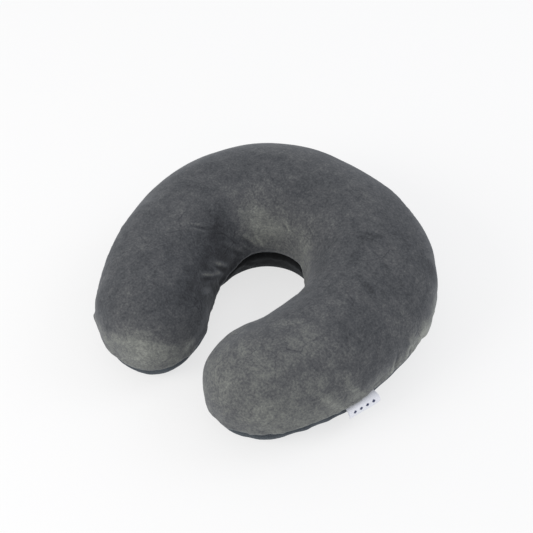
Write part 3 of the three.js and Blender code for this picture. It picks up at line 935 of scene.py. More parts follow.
@dataclass
class Padding:
    """A cloth simulation of the whole cover, used for the soft relief of both panels."""

    form: PillowForm
    voxel: float = 5.0 * MM
    frames: int = 20
    pressure: float = 4.0
    gather: float = 0.12
    cap: float = 6.0 * MM
    smoothing_reach: float = 32.0 * MM
    starts: Array = field(default_factory=lambda: np.zeros((0, 3)))
    moves: Array = field(default_factory=lambda: np.zeros((0, 3)))

    def stuffed_form(self) -> bpy.types.Object:
        """Make the closed form that the cloth starts from, a little slack inside the pillow."""
        ribs = self.form.around(150, 20)
        none = np.zeros(len(ribs.width))
        up, up_normal, _ = self.form.sheet(ribs, Panel.TOP, none, np.linspace(0, 1, 22))
        down, down_normal, _ = self.form.sheet(ribs, Panel.BOTTOM, none, np.linspace(0, 1, 14))
        up = up - up_normal * 1.0 * MM
        down = down - down_normal * 1.0 * MM
        down[:, 0] = up[:, 0]
        column = np.concatenate([down[:, ::-1], up[:, 1:]], axis=1)
        columns, rows = column.shape[:2]
        points, faces = weld(column.reshape(-1, 3), grid_faces(columns, rows, True))
        return make_mesh("padding_trial", points, faces)

    def run(self) -> None:
        """Simulate the cover and keep how each point moved; the trial object is removed."""
        trial = self.stuffed_form()
        remesh = trial.modifiers.new("remesh", "REMESH")
        remesh.mode = "VOXEL"
        remesh.voxel_size = self.voxel
        trial = self.applied(trial)
        starts = self.positions(trial)
        ribs = self.form.around(300, 40)
        edge = self.form.sheet(ribs, Panel.TOP, np.zeros(len(ribs.width)), np.array([0.0, 0.5]))[0][:, 0]
        tree = kdtree.KDTree(len(edge))
        for at, place in enumerate(edge):
            tree.insert(place, at)
        tree.balance()
        near = np.array([tree.find(p)[2] for p in starts])
        group = trial.vertex_groups.new(name="gather")
        for at, weight in enumerate(bell(near, 7 * MM)):
            group.add([at], float(weight), "REPLACE")
        cloth = trial.modifiers.new("cloth", "CLOTH")
        rules = cloth.settings
        rules.quality = 5
        rules.mass = 0.25
        rules.tension_stiffness = 12
        rules.compression_stiffness = 12
        rules.shear_stiffness = 4
        rules.bending_stiffness = 0.4
        rules.use_pressure = True
        rules.uniform_pressure_force = self.pressure
        rules.vertex_group_shrink = "gather"
        rules.shrink_min = -0.02
        rules.shrink_max = self.gather
        rules.effector_weights.gravity = 0
        cloth.point_cache.frame_start = 1
        cloth.point_cache.frame_end = self.frames
        for step in range(1, self.frames + 1):
            bpy.context.scene.frame_set(step)
        graph = bpy.context.evaluated_depsgraph_get()
        ends = self.positions(trial.evaluated_get(graph))
        moves = ends - starts
        size = np.linalg.norm(moves, axis=1, keepdims=True)
        moves *= np.minimum(1.0, self.cap / np.maximum(size, 1e-9))
        self.starts, self.moves = starts, moves
        bpy.data.objects.remove(trial)
        bpy.context.scene.frame_set(1)
        LOG.info("padding: %d points, largest move %.1f mm", len(starts), size.max() / MM)

    def applied(self, piece: bpy.types.Object) -> bpy.types.Object:
        """Replace a piece by what its modifiers make of it."""
        graph = bpy.context.evaluated_depsgraph_get()
        mesh = bpy.data.meshes.new_from_object(piece.evaluated_get(graph))
        piece.modifiers.clear()
        piece.data = mesh
        return piece

    def positions(self, piece: bpy.types.Object) -> Array:
        """Vertex positions of an object's mesh."""
        values = np.zeros(len(piece.data.vertices) * 3)
        piece.data.vertices.foreach_get("co", values)
        return values.reshape(-1, 3)

    def relief(self, points: Array, normals: Array) -> Array:
        """How far the simulated cloth stands out at each point, beyond its local average.

        Args:
            points: Places on the form.
            normals: Outward normals there.

        Returns:
            Metres along the normal, zero where no simulation was run.
        """
        if not len(self.starts):
            return np.zeros(len(points))
        tree = kdtree.KDTree(len(self.starts))
        for at, place in enumerate(self.starts):
            tree.insert(place, at)
        tree.balance()
        local = np.zeros((len(points), 3))
        for at, place in enumerate(points):
            found = tree.find_n(place, 7)
            weights = np.array([1 / (item[2] + 1e-4) ** 2 for item in found])
            rows = self.moves[[item[1] for item in found]]
            local[at] = (rows * weights[:, None]).sum(0) / weights.sum()
        picks = self.starts[:: max(1, len(self.starts) // 900)]
        averages = np.array([
            self.moves[[item[1] for item in tree.find_range(place, self.smoothing_reach)]].mean(0)
            for place in picks
        ])
        coarse = kdtree.KDTree(len(picks))
        for at, place in enumerate(picks):
            coarse.insert(place, at)
        coarse.balance()
        broad = np.zeros((len(points), 3))
        for at, place in enumerate(points):
            found = coarse.find_n(place, 6)
            weights = np.array([1 / (item[2] + 4e-3) ** 2 for item in found])
            broad[at] = (averages[[item[1] for item in found]] * weights[:, None]).sum(0) / weights.sum()
        return ((local - broad) * normals).sum(1)


# ---------------------------------------------------------------------------------------------
# Cover
# ---------------------------------------------------------------------------------------------


@dataclass(frozen=True)
class Fold:
    """A soft crease in the cloth: where it starts and ends on the pillow, its size, and its painted light:
    highlight on its shoulders and shade in its valley, swapped if negative.
    """

    start: tuple[float, float, float]
    end: tuple[float, float, float]
    depth: float
    reach: float
    painted_light: float = 0.08


@dataclass(frozen=True)
class SheenShadePatch:
    """A part of the velour with painted sheen (lighter) or painted shade (darker) in its tone.

    It lies in front of a plane that faces its direction at its place, within its reach.
    """

    place: tuple[float, float, float]
    direction: tuple[float, float, float]
    edge: float
    reach: tuple[float, float, float]
    lightness: float

    def lift(self, points: Array, wobble: Array) -> Array:
        """Painted sheen or painted shade added at each point.

        Args:
            points: Places on the cloth.
            wobble: How far the patch's border wanders at each point.

        Returns:
            The tone that the patch adds.
        """
        offset = points - np.array(self.place) * MM
        facing = np.array(self.direction)
        past = offset @ (facing / np.linalg.norm(facing)) + wobble
        front = ease(past / (self.edge * MM) + 0.5)
        within = np.exp(-((np.abs(offset) / (np.array(self.reach) * MM)) ** 2.6).sum(1))
        return self.lightness * front * within


@dataclass
class Cover:
    """The velour top panel, the knitted base panel and the seam that joins them."""

    form: PillowForm
    padding: Padding
    thickness: float = 1.3 * MM
    steps: int = 400
    cap_steps: int = 76
    top_levels: int = 52
    base_levels: int = 34
    slot_half: float = 5.0 * MM
    slot_from: float = math.radians(46.5)
    slot_to: float = math.radians(49.5)
    groove: float = 2.3 * MM
    groove_reach: float = 3.6 * MM
    turn_in: float = 2.6 * MM
    overhang: float = 1.1 * MM
    pile_height: float = 1.0 * MM
    stitch_pitch: float = 3.0 * MM
    stitch_radius: float = 0.28 * MM
    folds: tuple[Fold, ...] = ()
    patches: tuple[SheenShadePatch, ...] = ()

    def slot(self, ribs: Ribs) -> Array:
        """Half the opening between the panels at each rib: narrow, and wide over the zip."""
        angle = np.abs(ribs.along) / self.form.arc_radius
        parted = 1 - ease((angle - self.slot_from) / (self.slot_to - self.slot_from))
        parted = np.where(ribs.face > 0.99, parted, 0.0) * (angle < self.slot_to)
        return 0.15 * MM + (self.slot_half - 0.15 * MM) * parted

    def over_zip(self, ribs: Ribs) -> Array:
        """1 over the zip and just past its ends, 0 elsewhere."""
        angle = np.abs(ribs.along) / self.form.arc_radius
        return np.where(ribs.face > 0.99, 1 - ease((angle - self.slot_to) / math.radians(5)), 0.0)

    def puckers(self, ribs: Ribs, rise: Array, panel: Panel) -> Array:
        """Small gathers that fan out from the seam.

        Args:
            ribs: The ribs.
            rise: Distance of each level from the seam.
            panel: Which panel, because each gathers in its own rhythm.

        Returns:
            Metres along the normal, one per point.
        """
        seed = 3.0 if panel is Panel.TOP else 11.0
        run = np.stack([ribs.run, np.zeros_like(ribs.run), np.zeros_like(ribs.run)], axis=1)
        fine = ripple(run, 5.2 * MM, seed)
        broad = ripple(run, 14 * MM, seed + 5)
        strength = 0.6 + 0.8 * ease(0.5 + 1.6 * ripple(run, 55 * MM, seed + 9))
        near = np.exp(-rise / (6.5 * MM)) * np.clip(rise / (1.2 * MM), 0.35, 1)
        far = np.exp(-rise / (18 * MM)) * np.clip(rise / (3 * MM), 0, 1)
        calm = 1 - 0.85 * self.over_zip(ribs)
        gathers = 1.4 * MM * fine[:, None] * near + 2.0 * MM * broad[:, None] * far
        return (calm * strength)[:, None] * gathers

    def creases(self, points: Array) -> tuple[Array, Array]:
        """Work out the listed folds.

        Args:
            points: Places on the form.

        Returns:
            Depth at each point, negative inwards, and the tone that the folds add to the pile.
        """
        depth, tone = np.zeros(len(points)), np.zeros(len(points))
        for fold in self.folds:
            start, end = np.array(fold.start) * MM, np.array(fold.end) * MM
            reach = fold.reach * MM
            line = end - start
            share = np.clip(((points - start) @ line) / (line @ line), 0, 1)
            nearest = start + share[:, None] * line
            gap = np.linalg.norm(points - nearest, axis=1)
            fade = np.sin(math.pi * np.clip(share * 0.9 + 0.05, 0, 1)) ** 0.7
            valley = bell(gap, reach)
            above = ((points - nearest)[:, 2] > 0).astype(float)
            shoulder = bell(gap - 1.7 * reach, reach)
            depth += fold.depth * MM * fade * (0.45 * shoulder - valley)
            # Painted light: highlight on the fold's shoulders, more above it, and painted shade in its
            # valley.
            tone += fold.painted_light * fade * ((1 + above) * 0.7 * shoulder - valley)
        return depth, tone

    def build_panel(self, name: str, panel: Panel, levels: int, crowding: float) -> bpy.types.Object:
        """Build one panel as a closed skin with its edge turned into the seam.

        Args:
            name: Object name.
            panel: Which panel.
            levels: Points from the seam to the crown or the base's middle.
            crowding: How strongly the levels crowd towards the seam.

        Returns:
            The piece.
        """
        ribs = self.form.around(self.steps, self.cap_steps)
        gap = self.slot(ribs)
        points, normals, rise = self.form.sheet(ribs, panel, gap, level_shares(levels, crowding))
        columns, rows = points.shape[:2]
        flat = points.reshape(-1, 3)
        out = normals.reshape(-1, 3)
        calm = (1 - 0.8 * self.over_zip(ribs)[:, None] * bell(rise, 26 * MM)).ravel()
        soft = self.padding.relief(flat, out)
        soft += 0.55 * MM * ripple(flat, 60 * MM, 1.0) + 0.28 * MM * ripple(flat, 21 * MM, 7.0)
        push = calm * np.clip(0.6 * soft, -0.9 * MM, 1.3 * MM) + self.creases(flat)[0]
        push = push.reshape(columns, rows) + self.puckers(ribs, rise, panel)
        pull_in = self.groove * np.exp(-((rise / self.groove_reach) ** 1.5))
        push -= pull_in * (1 - 0.3 * self.over_zip(ribs))[:, None]
        if panel is Panel.TOP:
            push += self.pile_height
            push += self.overhang * (1 - self.over_zip(ribs))[:, None] * bell(rise - 7 * MM, 4.5 * MM)
        if panel is Panel.BOTTOM:
            settled = np.clip(points[..., 2] / (8 * MM), 0, 1)
            push *= settled
        moved = points + normals * push[..., None]
        tuck = moved[:, :1] - normals[:, :1] * self.turn_in
        tuck[..., 2] += panel.value * 0.35 * MM
        moved = np.concatenate([tuck, moved], axis=1)
        if panel is Panel.BOTTOM:
            moved[..., 2] = np.maximum(moved[..., 2], 0.0)
        faces = grid_faces(columns, rows + 1, True)
        if panel is Panel.BOTTOM:
            faces = faces[:, ::-1]
        plan = np.concatenate([points[:, :1] - normals[:, :1] * MM, points], axis=1)
        return make_mesh(name, *weld(plan.reshape(-1, 3), faces, moved.reshape(-1, 3)))

    def pile_sheen_and_shade(self, points: Array) -> Array:
        """How light the pile looks at each point, mostly painted light: painted sheen and shade from the
        patches and the folds, over a little random tone; half is plain, less is darker.

        Args:
            points: Places on the top panel.

        Returns:
            One tone per point, about 0.2 to 0.9.
        """
        tone = 0.5 + 0.05 * ripple(points, 38 * MM, 4.0) + self.creases(points)[1]
        wobble = 2.2 * MM * ripple(points, 16 * MM, 8.0, octaves=2)
        for patch in self.patches:
            tone += patch.lift(points, wobble)
        return tone

    def neck_shade(self, points: Array) -> Array:
        """Tone of the base panel, with painted shade: darker round the neck hole, fading towards the open
        front, over a little random tone.
        """
        neck = np.linalg.norm(points[:, :2] - np.array([0.0, self.form.centre_y]), axis=1)
        inside = 1 - ease((neck - 58 * MM) / (26 * MM))
        front = ease((-points[:, 1] - 62 * MM) / (30 * MM))
        return 0.40 - 0.62 * inside * (1 - front) + 0.05 * ripple(points, 24 * MM, 6.0)

    def build_top(self) -> bpy.types.Object:
        """Make the velour panel."""
        top = self.build_panel("velour_top_panel", Panel.TOP, self.top_levels, 0.55)
        points = np.array([v.co for v in top.data.vertices])
        # The pile attribute holds painted sheen and painted shade for the velour's colour.
        paint(top, "pile", self.pile_sheen_and_shade(points))
        self.thicken(top)
        dress(top, VELOUR.build())
        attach(top, "pillow")
        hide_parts("cover_top")
        return top

    def build_base(self) -> bpy.types.Object:
        """Make the knitted base panel."""
        base = self.build_panel("knit_base_panel", Panel.BOTTOM, self.base_levels, 0.6)
        points = np.array([v.co for v in base.data.vertices])
        # Painted shade round the neck hole, for the base's colour.
        paint(base, "pile", self.neck_shade(points))
        self.thicken(base)
        dress(base, BASE_KNIT.build())
        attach(base, "pillow")
        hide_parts("cover_bottom")
        return base

    def thicken(self, piece: bpy.types.Object) -> None:
        """Give a panel the thickness of its cloth, inwards."""
        shell = piece.modifiers.new("cloth_thickness", "SOLIDIFY")
        shell.thickness = self.thickness
        shell.offset = -1.0

    def build_seam_thread(self) -> bpy.types.Object:
        """Make the lockstitches that show as short bars across the seam's groove."""
        ribs = self.form.around(self.steps * 2, self.cap_steps * 2)
        edge, normals, _ = self.form.sheet(ribs, Panel.TOP, np.zeros(len(ribs.width)), np.array([0.0, 0.5]))
        edge, normals = edge[:, 0], normals[:, 0]
        closed = self.over_zip(ribs) < 0.02
        bars = []
        for run in np.arange(0, ribs.run[-1], self.stitch_pitch):
            at = int(np.searchsorted(ribs.run, run))
            if not closed[at]:
                continue
            out = normals[at]
            ahead = edge[(at + 1) % len(edge)] - edge[at]
            ahead /= np.linalg.norm(ahead)
            middle = edge[at] - out * (self.groove + 0.1 * MM)
            line = [middle + out * bow * MM + ahead * 0.35 * lean * MM + np.array([0, 0, lift * MM])
                    for lift, bow, lean in (
                        (-1.3, -0.5, -1), (-0.7, 0.35, -0.6), (0, 0.6, 0), (0.7, 0.35, 0.6), (1.3, -0.5, 1))]
            bars.append(tube(np.array(line), self.stitch_radius, 6, up=ahead))
        thread = make_mesh("seam_lockstitch_thread", *join_bars(bars))
        dress(thread, THREAD.build())
        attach(thread, "pillow")
        return thread


# ---------------------------------------------------------------------------------------------
# Core and liner
# ---------------------------------------------------------------------------------------------


@dataclass
class Core:
    """The moulded foam and the two part knitted liner round it."""

    form: PillowForm
    foam_depth: float = 4.6 * MM
    liner_depth: float = 3.6 * MM
    liner_thickness: float = 0.6 * MM
    recess: float = 2.2 * MM
    seam_recess: float = 1.6 * MM
    steps: int = 170
    cap_steps: int = 30

    def sunk(self, points: Array, normals: Array, rise: Array, ribs: Ribs, depth: float) -> Array:
        """Move a sheet inwards, deeper beside the seam and behind the zip."""
        angle = np.abs(ribs.along) / self.form.arc_radius
        zipped = np.where(ribs.face > 0.99, 1 - ease((angle - math.radians(47)) / math.radians(6)), 0.0)
        beside = bell(rise, 11 * MM)
        extra = self.seam_recess * beside + self.recess * zipped[:, None] * bell(rise, 14 * MM)
        return points - normals * (depth + extra)[..., None]

    def layer(self, panel: Panel, depth: float, rows: int) -> tuple[Array, Array]:
        """Points of one panel at a depth, and its ribs' seam edge rise."""
        ribs = self.form.around(self.steps, self.cap_steps)
        gap = np.zeros(len(ribs.width))
        points, normals, rise = self.form.sheet(ribs, panel, gap, level_shares(rows, 0.25))
        return self.sunk(points, normals, rise, ribs, depth), rise

    def build_foam(self) -> bpy.types.Object:
        """Make the foam as one closed moulding with a faint mould line and small dimples."""
        up, _ = self.layer(Panel.TOP, self.foam_depth, 26)
        down, _ = self.layer(Panel.BOTTOM, self.foam_depth, 16)
        down[:, 0] = up[:, 0]
        column = np.concatenate([down[:, ::-1], up[:, 1:]], axis=1)
        columns, rows = column.shape[:2]
        flat = column.reshape(-1, 3)
        dimple = 0.15 * MM * ripple(flat, 12 * MM, 21.0)
        centre = np.array([0.0, self.form.centre_y, 45 * MM])
        inward = flat - centre
        inward /= np.linalg.norm(inward, axis=1, keepdims=True)
        moved = flat - inward * np.abs(dimple)[:, None] * (np.abs(flat[:, 2:3] - 45 * MM) > 5 * MM)
        foam = make_mesh("moulded_foam_core", *weld(flat, grid_faces(columns, rows, True), moved))
        dress(foam, MEMORY_FOAM.build())
        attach(foam, "pillow")
        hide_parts("foam_core")
        return foam

    def build_liner(self) -> list[bpy.types.Object]:
        """Make the liner's two halves, which meet in a flat seam at the widest line."""
        made = []
        sizes = {Panel.TOP: ("liner_sock_top", "liner_top", (0.40, 0.40), 0.108, 26),
                 Panel.BOTTOM: ("liner_sock_bottom", "liner_bottom", (0.34, 0.34), 0.078, 18)}
        for panel, (name, node, flat, area, rows) in sizes.items():
            points, _ = self.layer(panel, self.liner_depth, rows)
            if panel is Panel.TOP:
                points[:, 0, 2] += 0.2 * MM
            columns = len(points)
            faces = grid_faces(columns, rows, True)
            if panel is Panel.BOTTOM:
                faces = faces[:, ::-1]
            half = make_mesh(name, *weld(points.reshape(-1, 3), faces))
            skin = half.modifiers.new("knit_thickness", "SOLIDIFY")
            skin.thickness = self.liner_thickness
            skin.offset = -1.0
            dress(half, STOCKINETTE.build())
            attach(half, "pillow")
            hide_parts(node)
            made.append(half)
        return made


# ---------------------------------------------------------------------------------------------
# Zip
# ---------------------------------------------------------------------------------------------


@dataclass
class ZipFastener:
    """Coil zip in the back seam: two tapes, two coils, stops, slider and pull."""

    form: PillowForm
    chain_half_angle: float = math.radians(45)
    tape_half_angle: float = math.radians(48)
    tape_edge: float = 0.8 * MM
    tape_width: float = 10.2 * MM
    tape_depth: float = 2.75 * MM
    tape_thickness: float = 0.55 * MM
    coil_pitch: float = 1.35 * MM
    coil_centre: float = 1.45 * MM
    coil_depth: float = -1.5 * MM
    coil_radii: tuple[float, float] = (0.72 * MM, 0.85 * MM)
    wire_radius: float = 0.24 * MM

    def place(self, angle: Array, depth: Array, up: Array) -> Array:
        """Points on the zip's circle: angle from the back, depth outwards, height from the seam."""
        radius = self.form.back_radius + depth
        return np.stack([
            radius * np.sin(angle),
            radius * np.cos(angle) + self.form.centre_y,
            self.form.seam_back + up,
        ], axis=-1)

    def build_tape(self, side: Panel, name: str, node: str) -> bpy.types.Object:
        """Make one woven tape that lies along the inside of the cover."""
        angles = np.linspace(-self.tape_half_angle, self.tape_half_angle, 181)
        shares = np.linspace(0, 1, 9)
        ribs = self.form.side_ribs(angles * self.form.arc_radius, Face.OUTER)
        rows = []
        for share in shares:
            height = self.form.seam_back + side.value * (self.tape_edge + share * self.tape_width)
            widest = self.form.widest_at * ribs.height
            sine = np.clip(1 - height / widest, 0, 1)
            inset = self.form.base_corner * (1 - np.sqrt(1 - sine ** 2)) + self.tape_depth
            rows.append(self.place(angles, -inset, np.full(len(angles), height - self.form.seam_back)))
        outer = np.stack(rows, axis=1)
        plan = outer[..., :2] - np.array([0.0, self.form.centre_y])
        inward = plan / np.linalg.norm(plan, axis=2, keepdims=True)
        inner = outer.copy()
        inner[..., :2] -= inward * self.tape_thickness
        ring = np.concatenate([outer, inner[:, ::-1]], axis=1)
        columns, count = ring.shape[:2]
        faces = []
        for column in range(columns - 1):
            for row in range(count):
                after = (row + 1) % count
                faces.append([column * count + row, column * count + after,
                              (column + 1) * count + after, (column + 1) * count + row])
        for column, order in ((0, 1), (columns - 1, -1)):
            for row in range(len(shares) - 1):
                quad = [row, count - 1 - row, count - 2 - row, row + 1]
                faces.append([column * count + corner for corner in quad[::order]])
        if side is Panel.BOTTOM:
            faces = [face[::-1] for face in faces]
        tape = make_mesh(name, ring.reshape(-1, 3), faces)
        dress(tape, WOVEN_TAPE.build())
        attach(tape, "pillow")
        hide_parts(node)
        return tape

    def build_coil(self, side: Panel, name: str, node: str) -> bpy.types.Object:
        """Make one coil as a wire wound round the tape's edge, with a head on each turn."""
        length = 2 * self.chain_half_angle * self.form.back_radius
        turns = int(length / self.coil_pitch)
        per_turn = 10
        turn = np.linspace(0, 2 * math.pi * turns, turns * per_turn + 1)
        shift = 0.5 if side is Panel.BOTTOM else 0.0
        travel = (turn / (2 * math.pi * turns)) * 2 - 1
        angle = travel * (self.chain_half_angle - 0.004) + shift * self.coil_pitch / self.form.back_radius
        depth = self.coil_depth + self.coil_radii[0] * np.cos(turn)
        reach = self.coil_radii[1] * np.sin(turn)
        line = self.place(angle, depth, side.value * (self.coil_centre - reach))
        ahead = np.stack([np.cos(angle), -np.sin(angle), np.zeros_like(angle)], axis=-1)
        coil = make_mesh(name, *tube(line, self.wire_radius, 6, up=ahead))
        dress(coil, NYLON.build())
        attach(coil, "pillow")
        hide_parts(node)
        return coil

    def build_stitching(self) -> bpy.types.Object:
        """Make the chain stitch that holds each coil to its tape, and the line outside it."""
        bars = []
        reach = self.chain_half_angle * self.form.back_radius
        for up, pitch in ((2.75, 1.9), (-2.75, 1.9), (4.1, 2.6), (-4.1, 2.6)):
            for along in np.arange(-reach, reach, pitch * MM):
                share = np.linspace(0, 0.8 * pitch * MM, 4)
                angle = (along + share) / self.form.back_radius
                rise = np.array([-0.32, 0.02, 0.02, -0.32]) * MM
                line = self.place(angle, rise - 2.95 * MM, np.full(4, up * MM))
                bars.append(tube(line, 0.16 * MM, 5))
        stitches = make_mesh("zip_tape_stitching", *join_bars(bars))
        dress(stitches, THREAD.build())
        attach(stitches, "pillow")
        return stitches

    def dress_metal(self) -> None:
        """Round the edges of the metal parts slightly and plate them."""
        plating = PLATED_ZINC.build()
        for node in (
                "zip_slider", "zip_pull", "zip_bottom_stop", "zip_top_stop_upper", "zip_top_stop_lower"):
            part = frame["nodes"][node]
            soften = part.modifiers.new("cast_edges", "BEVEL")
            soften.width = 0.14 * MM
            soften.segments = 2
            soften.limit_method = "ANGLE"
            soften.angle_limit = math.radians(40)
            part.data.materials.clear()
            part.data.materials.append(plating)


# ---------------------------------------------------------------------------------------------
# Labels
# ---------------------------------------------------------------------------------------------


@dataclass
class Labels:
    """The folded side label in the seam and the care label inside."""

    form: PillowForm
    start: float = 175.0 * MM
    end: float = 199.0 * MM
    hidden: float = 7.0 * MM
    reach_out: float = 6.4 * MM
    drop: float = 8.0 * MM
    ply: float = 0.32 * MM
    columns: int = 97
    rows: int = 41
    cut_length: float = 36.0 * MM
    straight_share: float = 0.38
    seam_inset: float = 1.6 * MM
    curl_height: float = 0.9 * MM
    corner_lift: float = 1.3 * MM
    bulge: float = 0.55 * MM

    def build_side_label(self) -> bpy.types.Object:
        """Make the ribbon folded over on itself, with its cut ends held in the seam."""
        along = np.linspace(self.start, self.end, self.columns)
        ribs = self.form.side_ribs(along, Face.OUTER)
        fall = np.linspace(0, 1, self.rows)
        bend = np.clip((fall - self.straight_share) / (1 - self.straight_share), 0, 1) * math.pi / 2
        out = -self.hidden * (1 - np.minimum(fall / self.straight_share, 1)) + self.reach_out * np.sin(bend)
        out -= self.seam_inset
        down = -self.drop * (1 - np.cos(bend))
        share = (along - self.start) / (self.end - self.start)
        curl = self.curl_height * np.cos(share * math.pi * 1.3 + 0.4)
        corners = self.corner_lift * ((2 * share - 1) ** 6)
        layers = []
        for ply in (0.5, -0.5):
            swell = ply * (self.ply * 1.1 + self.bulge * np.sin(bend * 2) ** 2)
            loose = np.sin(bend) ** 2
            across = (ribs.width[:, None] + out[None, :] + 0.7 * swell[None, :]
                      + curl[:, None] * loose[None, :])
            up = ribs.seam[:, None] + (down + swell)[None, :] + (0.5 * curl + corners)[:, None] * loose
            plan = ribs.point[:, None, :] + ribs.direction[:, None, :] * across[..., None]
            layers.append(np.concatenate([plan, up[..., None]], axis=2))
        fold = (layers[0][:, -1:] + layers[1][:, -1:]) / 2
        fold[..., 2] -= 0.25 * MM
        ribbon = np.concatenate([layers[0], fold, layers[1][:, ::-1]], axis=1)
        count = ribbon.shape[1]
        faces = grid_faces(self.columns, count, False)
        label = make_mesh("folded_side_label", ribbon.reshape(-1, 3), faces)
        v = np.concatenate([fall, [1.0], fall[::-1]])
        paint(label, "motif", self.motif(share, v).ravel())
        cloth = label.modifiers.new("ribbon_thickness", "SOLIDIFY")
        cloth.thickness = self.ply
        cloth.offset = 0.0
        dress(label, DAMASK.build())
        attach(label, "pillow")
        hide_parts("side_label")
        # The ribbon lies outside the centreline of a curved arm, so it is longer than its share of it.
        length = self.form.arm_radius + float(ribs.width.mean())
        length *= (self.end - self.start) / self.form.arm_radius
        return label

    def motif(self, share: Array, v: Array) -> Array:
        """A plain row of lozenges along the middle of the ribbon, 0 or 1 at each point."""
        pitch = 5.0
        phase = np.abs(((share * pitch + 0.5) % 1.0) - 0.5)
        across = np.abs(v - 0.76)
        inside = (phase[:, None] / 0.30 + across[None, :] / 0.09) < 1
        margin = ((share > 0.08) & (share < 0.92))[:, None]
        return (inside & margin).astype(float)

    def build_care_label(self) -> bpy.types.Object:
        """Make the small blank label sewn inside the cover, behind the velour."""
        low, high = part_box("care_label")
        angle = np.linspace(-math.radians(64), -math.radians(56), 13)
        along = angle * self.form.arc_radius
        ribs = self.form.side_ribs(along, Face.OUTER)
        points, normals, rise = self.form.sheet(ribs, Panel.TOP, np.zeros(13), np.linspace(0, 0.62, 40))
        keep = (points[0, :, 2] >= low.z) & (points[0, :, 2] <= high.z)
        patch = (points - normals * 2.6 * MM)[:, keep]
        patch = patch + normals[:, keep] * (0.12 * MM * np.sin(rise[:, keep] / (3 * MM)))[..., None]
        columns, rows = patch.shape[:2]
        label = make_mesh("inner_care_label", patch.reshape(-1, 3), grid_faces(columns, rows, False))
        paint(label, "motif", np.zeros(columns * rows))
        cloth = label.modifiers.new("ribbon_thickness", "SOLIDIFY")
        cloth.thickness = 0.3 * MM
        cloth.offset = 0.0
        dress(label, DAMASK.build())
        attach(label, "pillow")
        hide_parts("care_label")
        return label


# ---------------------------------------------------------------------------------------------
# This pillow's own swells, folds and patches of painted sheen and shade, in millimetres
# ---------------------------------------------------------------------------------------------

SWELLS = (
    Swell((108, 92, 72), 36, 4.4),
    Swell((135, 52, 58), 34, 4.2),
    Swell((148, 30, 44), 14, 2.2),
    Swell((143, -22, 26), 30, -2.2),
    Swell((8, 126, 88), 42, -3.8),
    Swell((-132, -8, 78), 46, -1.4),
    Swell((30, -78, 76), 22, -4.0),
    Swell((27, -100, 73), 18, -2.8),
    Swell((-104, -124, 31), 7, 2.6),
    Swell((-22, -122, 22), 22, 2.6),
    Swell((-12, -104, 27), 7, 1.8),
)

# The last number of each fold is its painted light: highlight on its shoulders and shade in its valley.
FOLDS = (
    Fold((-70, -27, 88), (-58, -16, 83), 1.0, 1.7, 0.14),
    Fold((-34, 18, 60), (-25, 25, 44), 1.2, 1.8, 0.16),
    Fold((-12, 36, 74), (-4, 37, 66), 0.9, 1.6, 0.14),
    Fold((62, 46, 97), (84, 51, 98), 0.8, 1.6, -0.10),
    Fold((88, 6, 94), (109, -4, 92), 0.8, 1.6, -0.12),
    Fold((96, -18, 92), (104, -34, 88), 0.7, 1.5, -0.12),
    Fold((70, 30, 98), (78, 12, 98), 0.6, 1.5, -0.10),
    Fold((-43, -36, 62), (-38, -19, 42), 1.8, 2.6, 0.46),
    Fold((-36, -57, 66), (-39, -30, 44), 1.8, 2.4, 0.44),
    Fold((-29, -68, 62), (-34, -50, 46), 1.6, 2.2, 0.34),
    Fold((-46, -14, 66), (-37, 4, 44), 1.2, 2.4, 0.16),
    Fold((-38, 6, 64), (-30, 17, 46), 1.0, 2.2, 0.12),
    Fold((116, 76, 80), (135, 62, 50), 1.4, 3.0, 0.12),
    Fold((126, 50, 79), (145, 44, 42), 1.4, 2.8, 0.16),
    Fold((138, 26, 64), (150, 20, 36), 1.4, 2.6, 0.20),
    Fold((143, 4, 60), (149, 0, 34), 1.3, 2.4, 0.20),
    Fold((145, -16, 54), (147, -20, 34), 1.2, 2.2, 0.18),
    Fold((124, -75, 67), (138, -58, 32), 1.2, 2.2, 0.12),
    Fold((114, -94, 62), (131, -78, 30), 1.1, 2.2, 0.12),
    Fold((-22, -106, 56), (-13, -104, 34), 1.5, 2.6, 0.14),
    Fold((-94, -117, 58), (-102, -120, 34), 1.2, 2.4, 0.08),
)
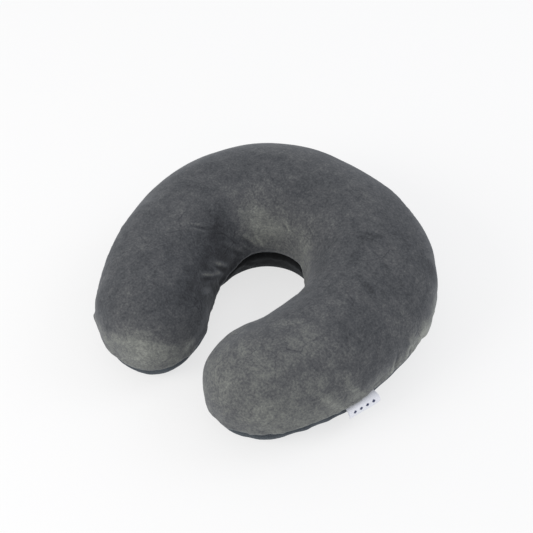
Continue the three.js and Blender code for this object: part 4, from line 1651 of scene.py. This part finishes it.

# Painted light on the velour: positive patches are painted sheen on walls that face the front, negative ones
# are painted shade, as on the left arm's inner wall.
PATCHES = (
    SheenShadePatch((-45, -134, 67), (0.388, -0.919, -0.07), 4, (34, 40, 26), 0.15),
    SheenShadePatch((-45, -134, 57), (0.2, -0.5, -0.85), 6, (72, 45, 60), 0.19),
    SheenShadePatch((75, -120, 74), (0.1, -0.72, -0.68), 90, (120, 85, 80), 0.17),
    SheenShadePatch((30, -120, 60), (-0.5, -0.5, -0.5), 30, (34, 40, 40), -0.10),
    SheenShadePatch((125, -70, 45), (0.3, -0.2, -0.9), 26, (60, 70, 40), 0.14),
    SheenShadePatch((145, 20, 45), (0.4, 0.0, -0.9), 22, (40, 60, 40), 0.26),
    SheenShadePatch((75, -60, 90), (0.2, -0.6, 0.0), 120, (90, 90, 60), 0.12),
    SheenShadePatch((-30, 34, 70), (0.0, -0.3, -0.1), 60, (36, 24, 24), 0.54),
    SheenShadePatch((32, 20, 60), (-0.8, -0.5, -0.3), 24, (26, 28, 30), 0.24),
    SheenShadePatch((-44, -42, 54), (0.9, 0.1, -0.3), 40, (30, 52, 40), -0.50),
    SheenShadePatch((-62, -10, 84), (0.9, 0.1, -0.3), 40, (22, 26, 20), -0.22),
    SheenShadePatch((-85, -60, 90), (0.2, -0.4, 0.2), 80, (60, 60, 60), -0.06),
    SheenShadePatch((127, 60, 72), (0.5, 0.1, 0.5), 60, (9, 15, 14), -0.34),
    SheenShadePatch((144, 42, 48), (0.5, 0.1, 0.5), 60, (12, 32, 13), 0.34),
)

# ---------------------------------------------------------------------------------------------
# Build
# ---------------------------------------------------------------------------------------------


def report(piece: bpy.types.Object) -> None:
    """Log a finished piece."""
    LOG.info("%s: %d faces", piece.name, len(piece.data.polygons))


def main() -> None:
    """Build everything in order."""
    logging.basicConfig(level=logging.INFO, format="%(name)s %(message)s")
    form = PillowForm(swells=SWELLS)
    studio = Studio()
    studio.set_camera(form)
    studio.light()
    studio.lay_floor()

    padding = Padding(form)
    padding.run()

    cover = Cover(form, padding, folds=FOLDS, patches=PATCHES)
    report(cover.build_top())
    report(cover.build_base())
    report(cover.build_seam_thread())

    core = Core(form)
    foam = core.build_foam()
    report(foam)
    for half in core.build_liner():
        report(half)

    fastener = ZipFastener(form)
    report(fastener.build_tape(Panel.TOP, "woven_tape_upper", "zip_tape_upper"))
    report(fastener.build_tape(Panel.BOTTOM, "woven_tape_lower", "zip_tape_lower"))
    report(fastener.build_coil(Panel.TOP, "nylon_coil_upper", "zip_coil_upper"))
    report(fastener.build_coil(Panel.BOTTOM, "nylon_coil_lower", "zip_coil_lower"))
    report(fastener.build_stitching())
    fastener.dress_metal()

    labels = Labels(form)
    report(labels.build_side_label())
    report(labels.build_care_label())


if __name__ == "__main__":
    main()
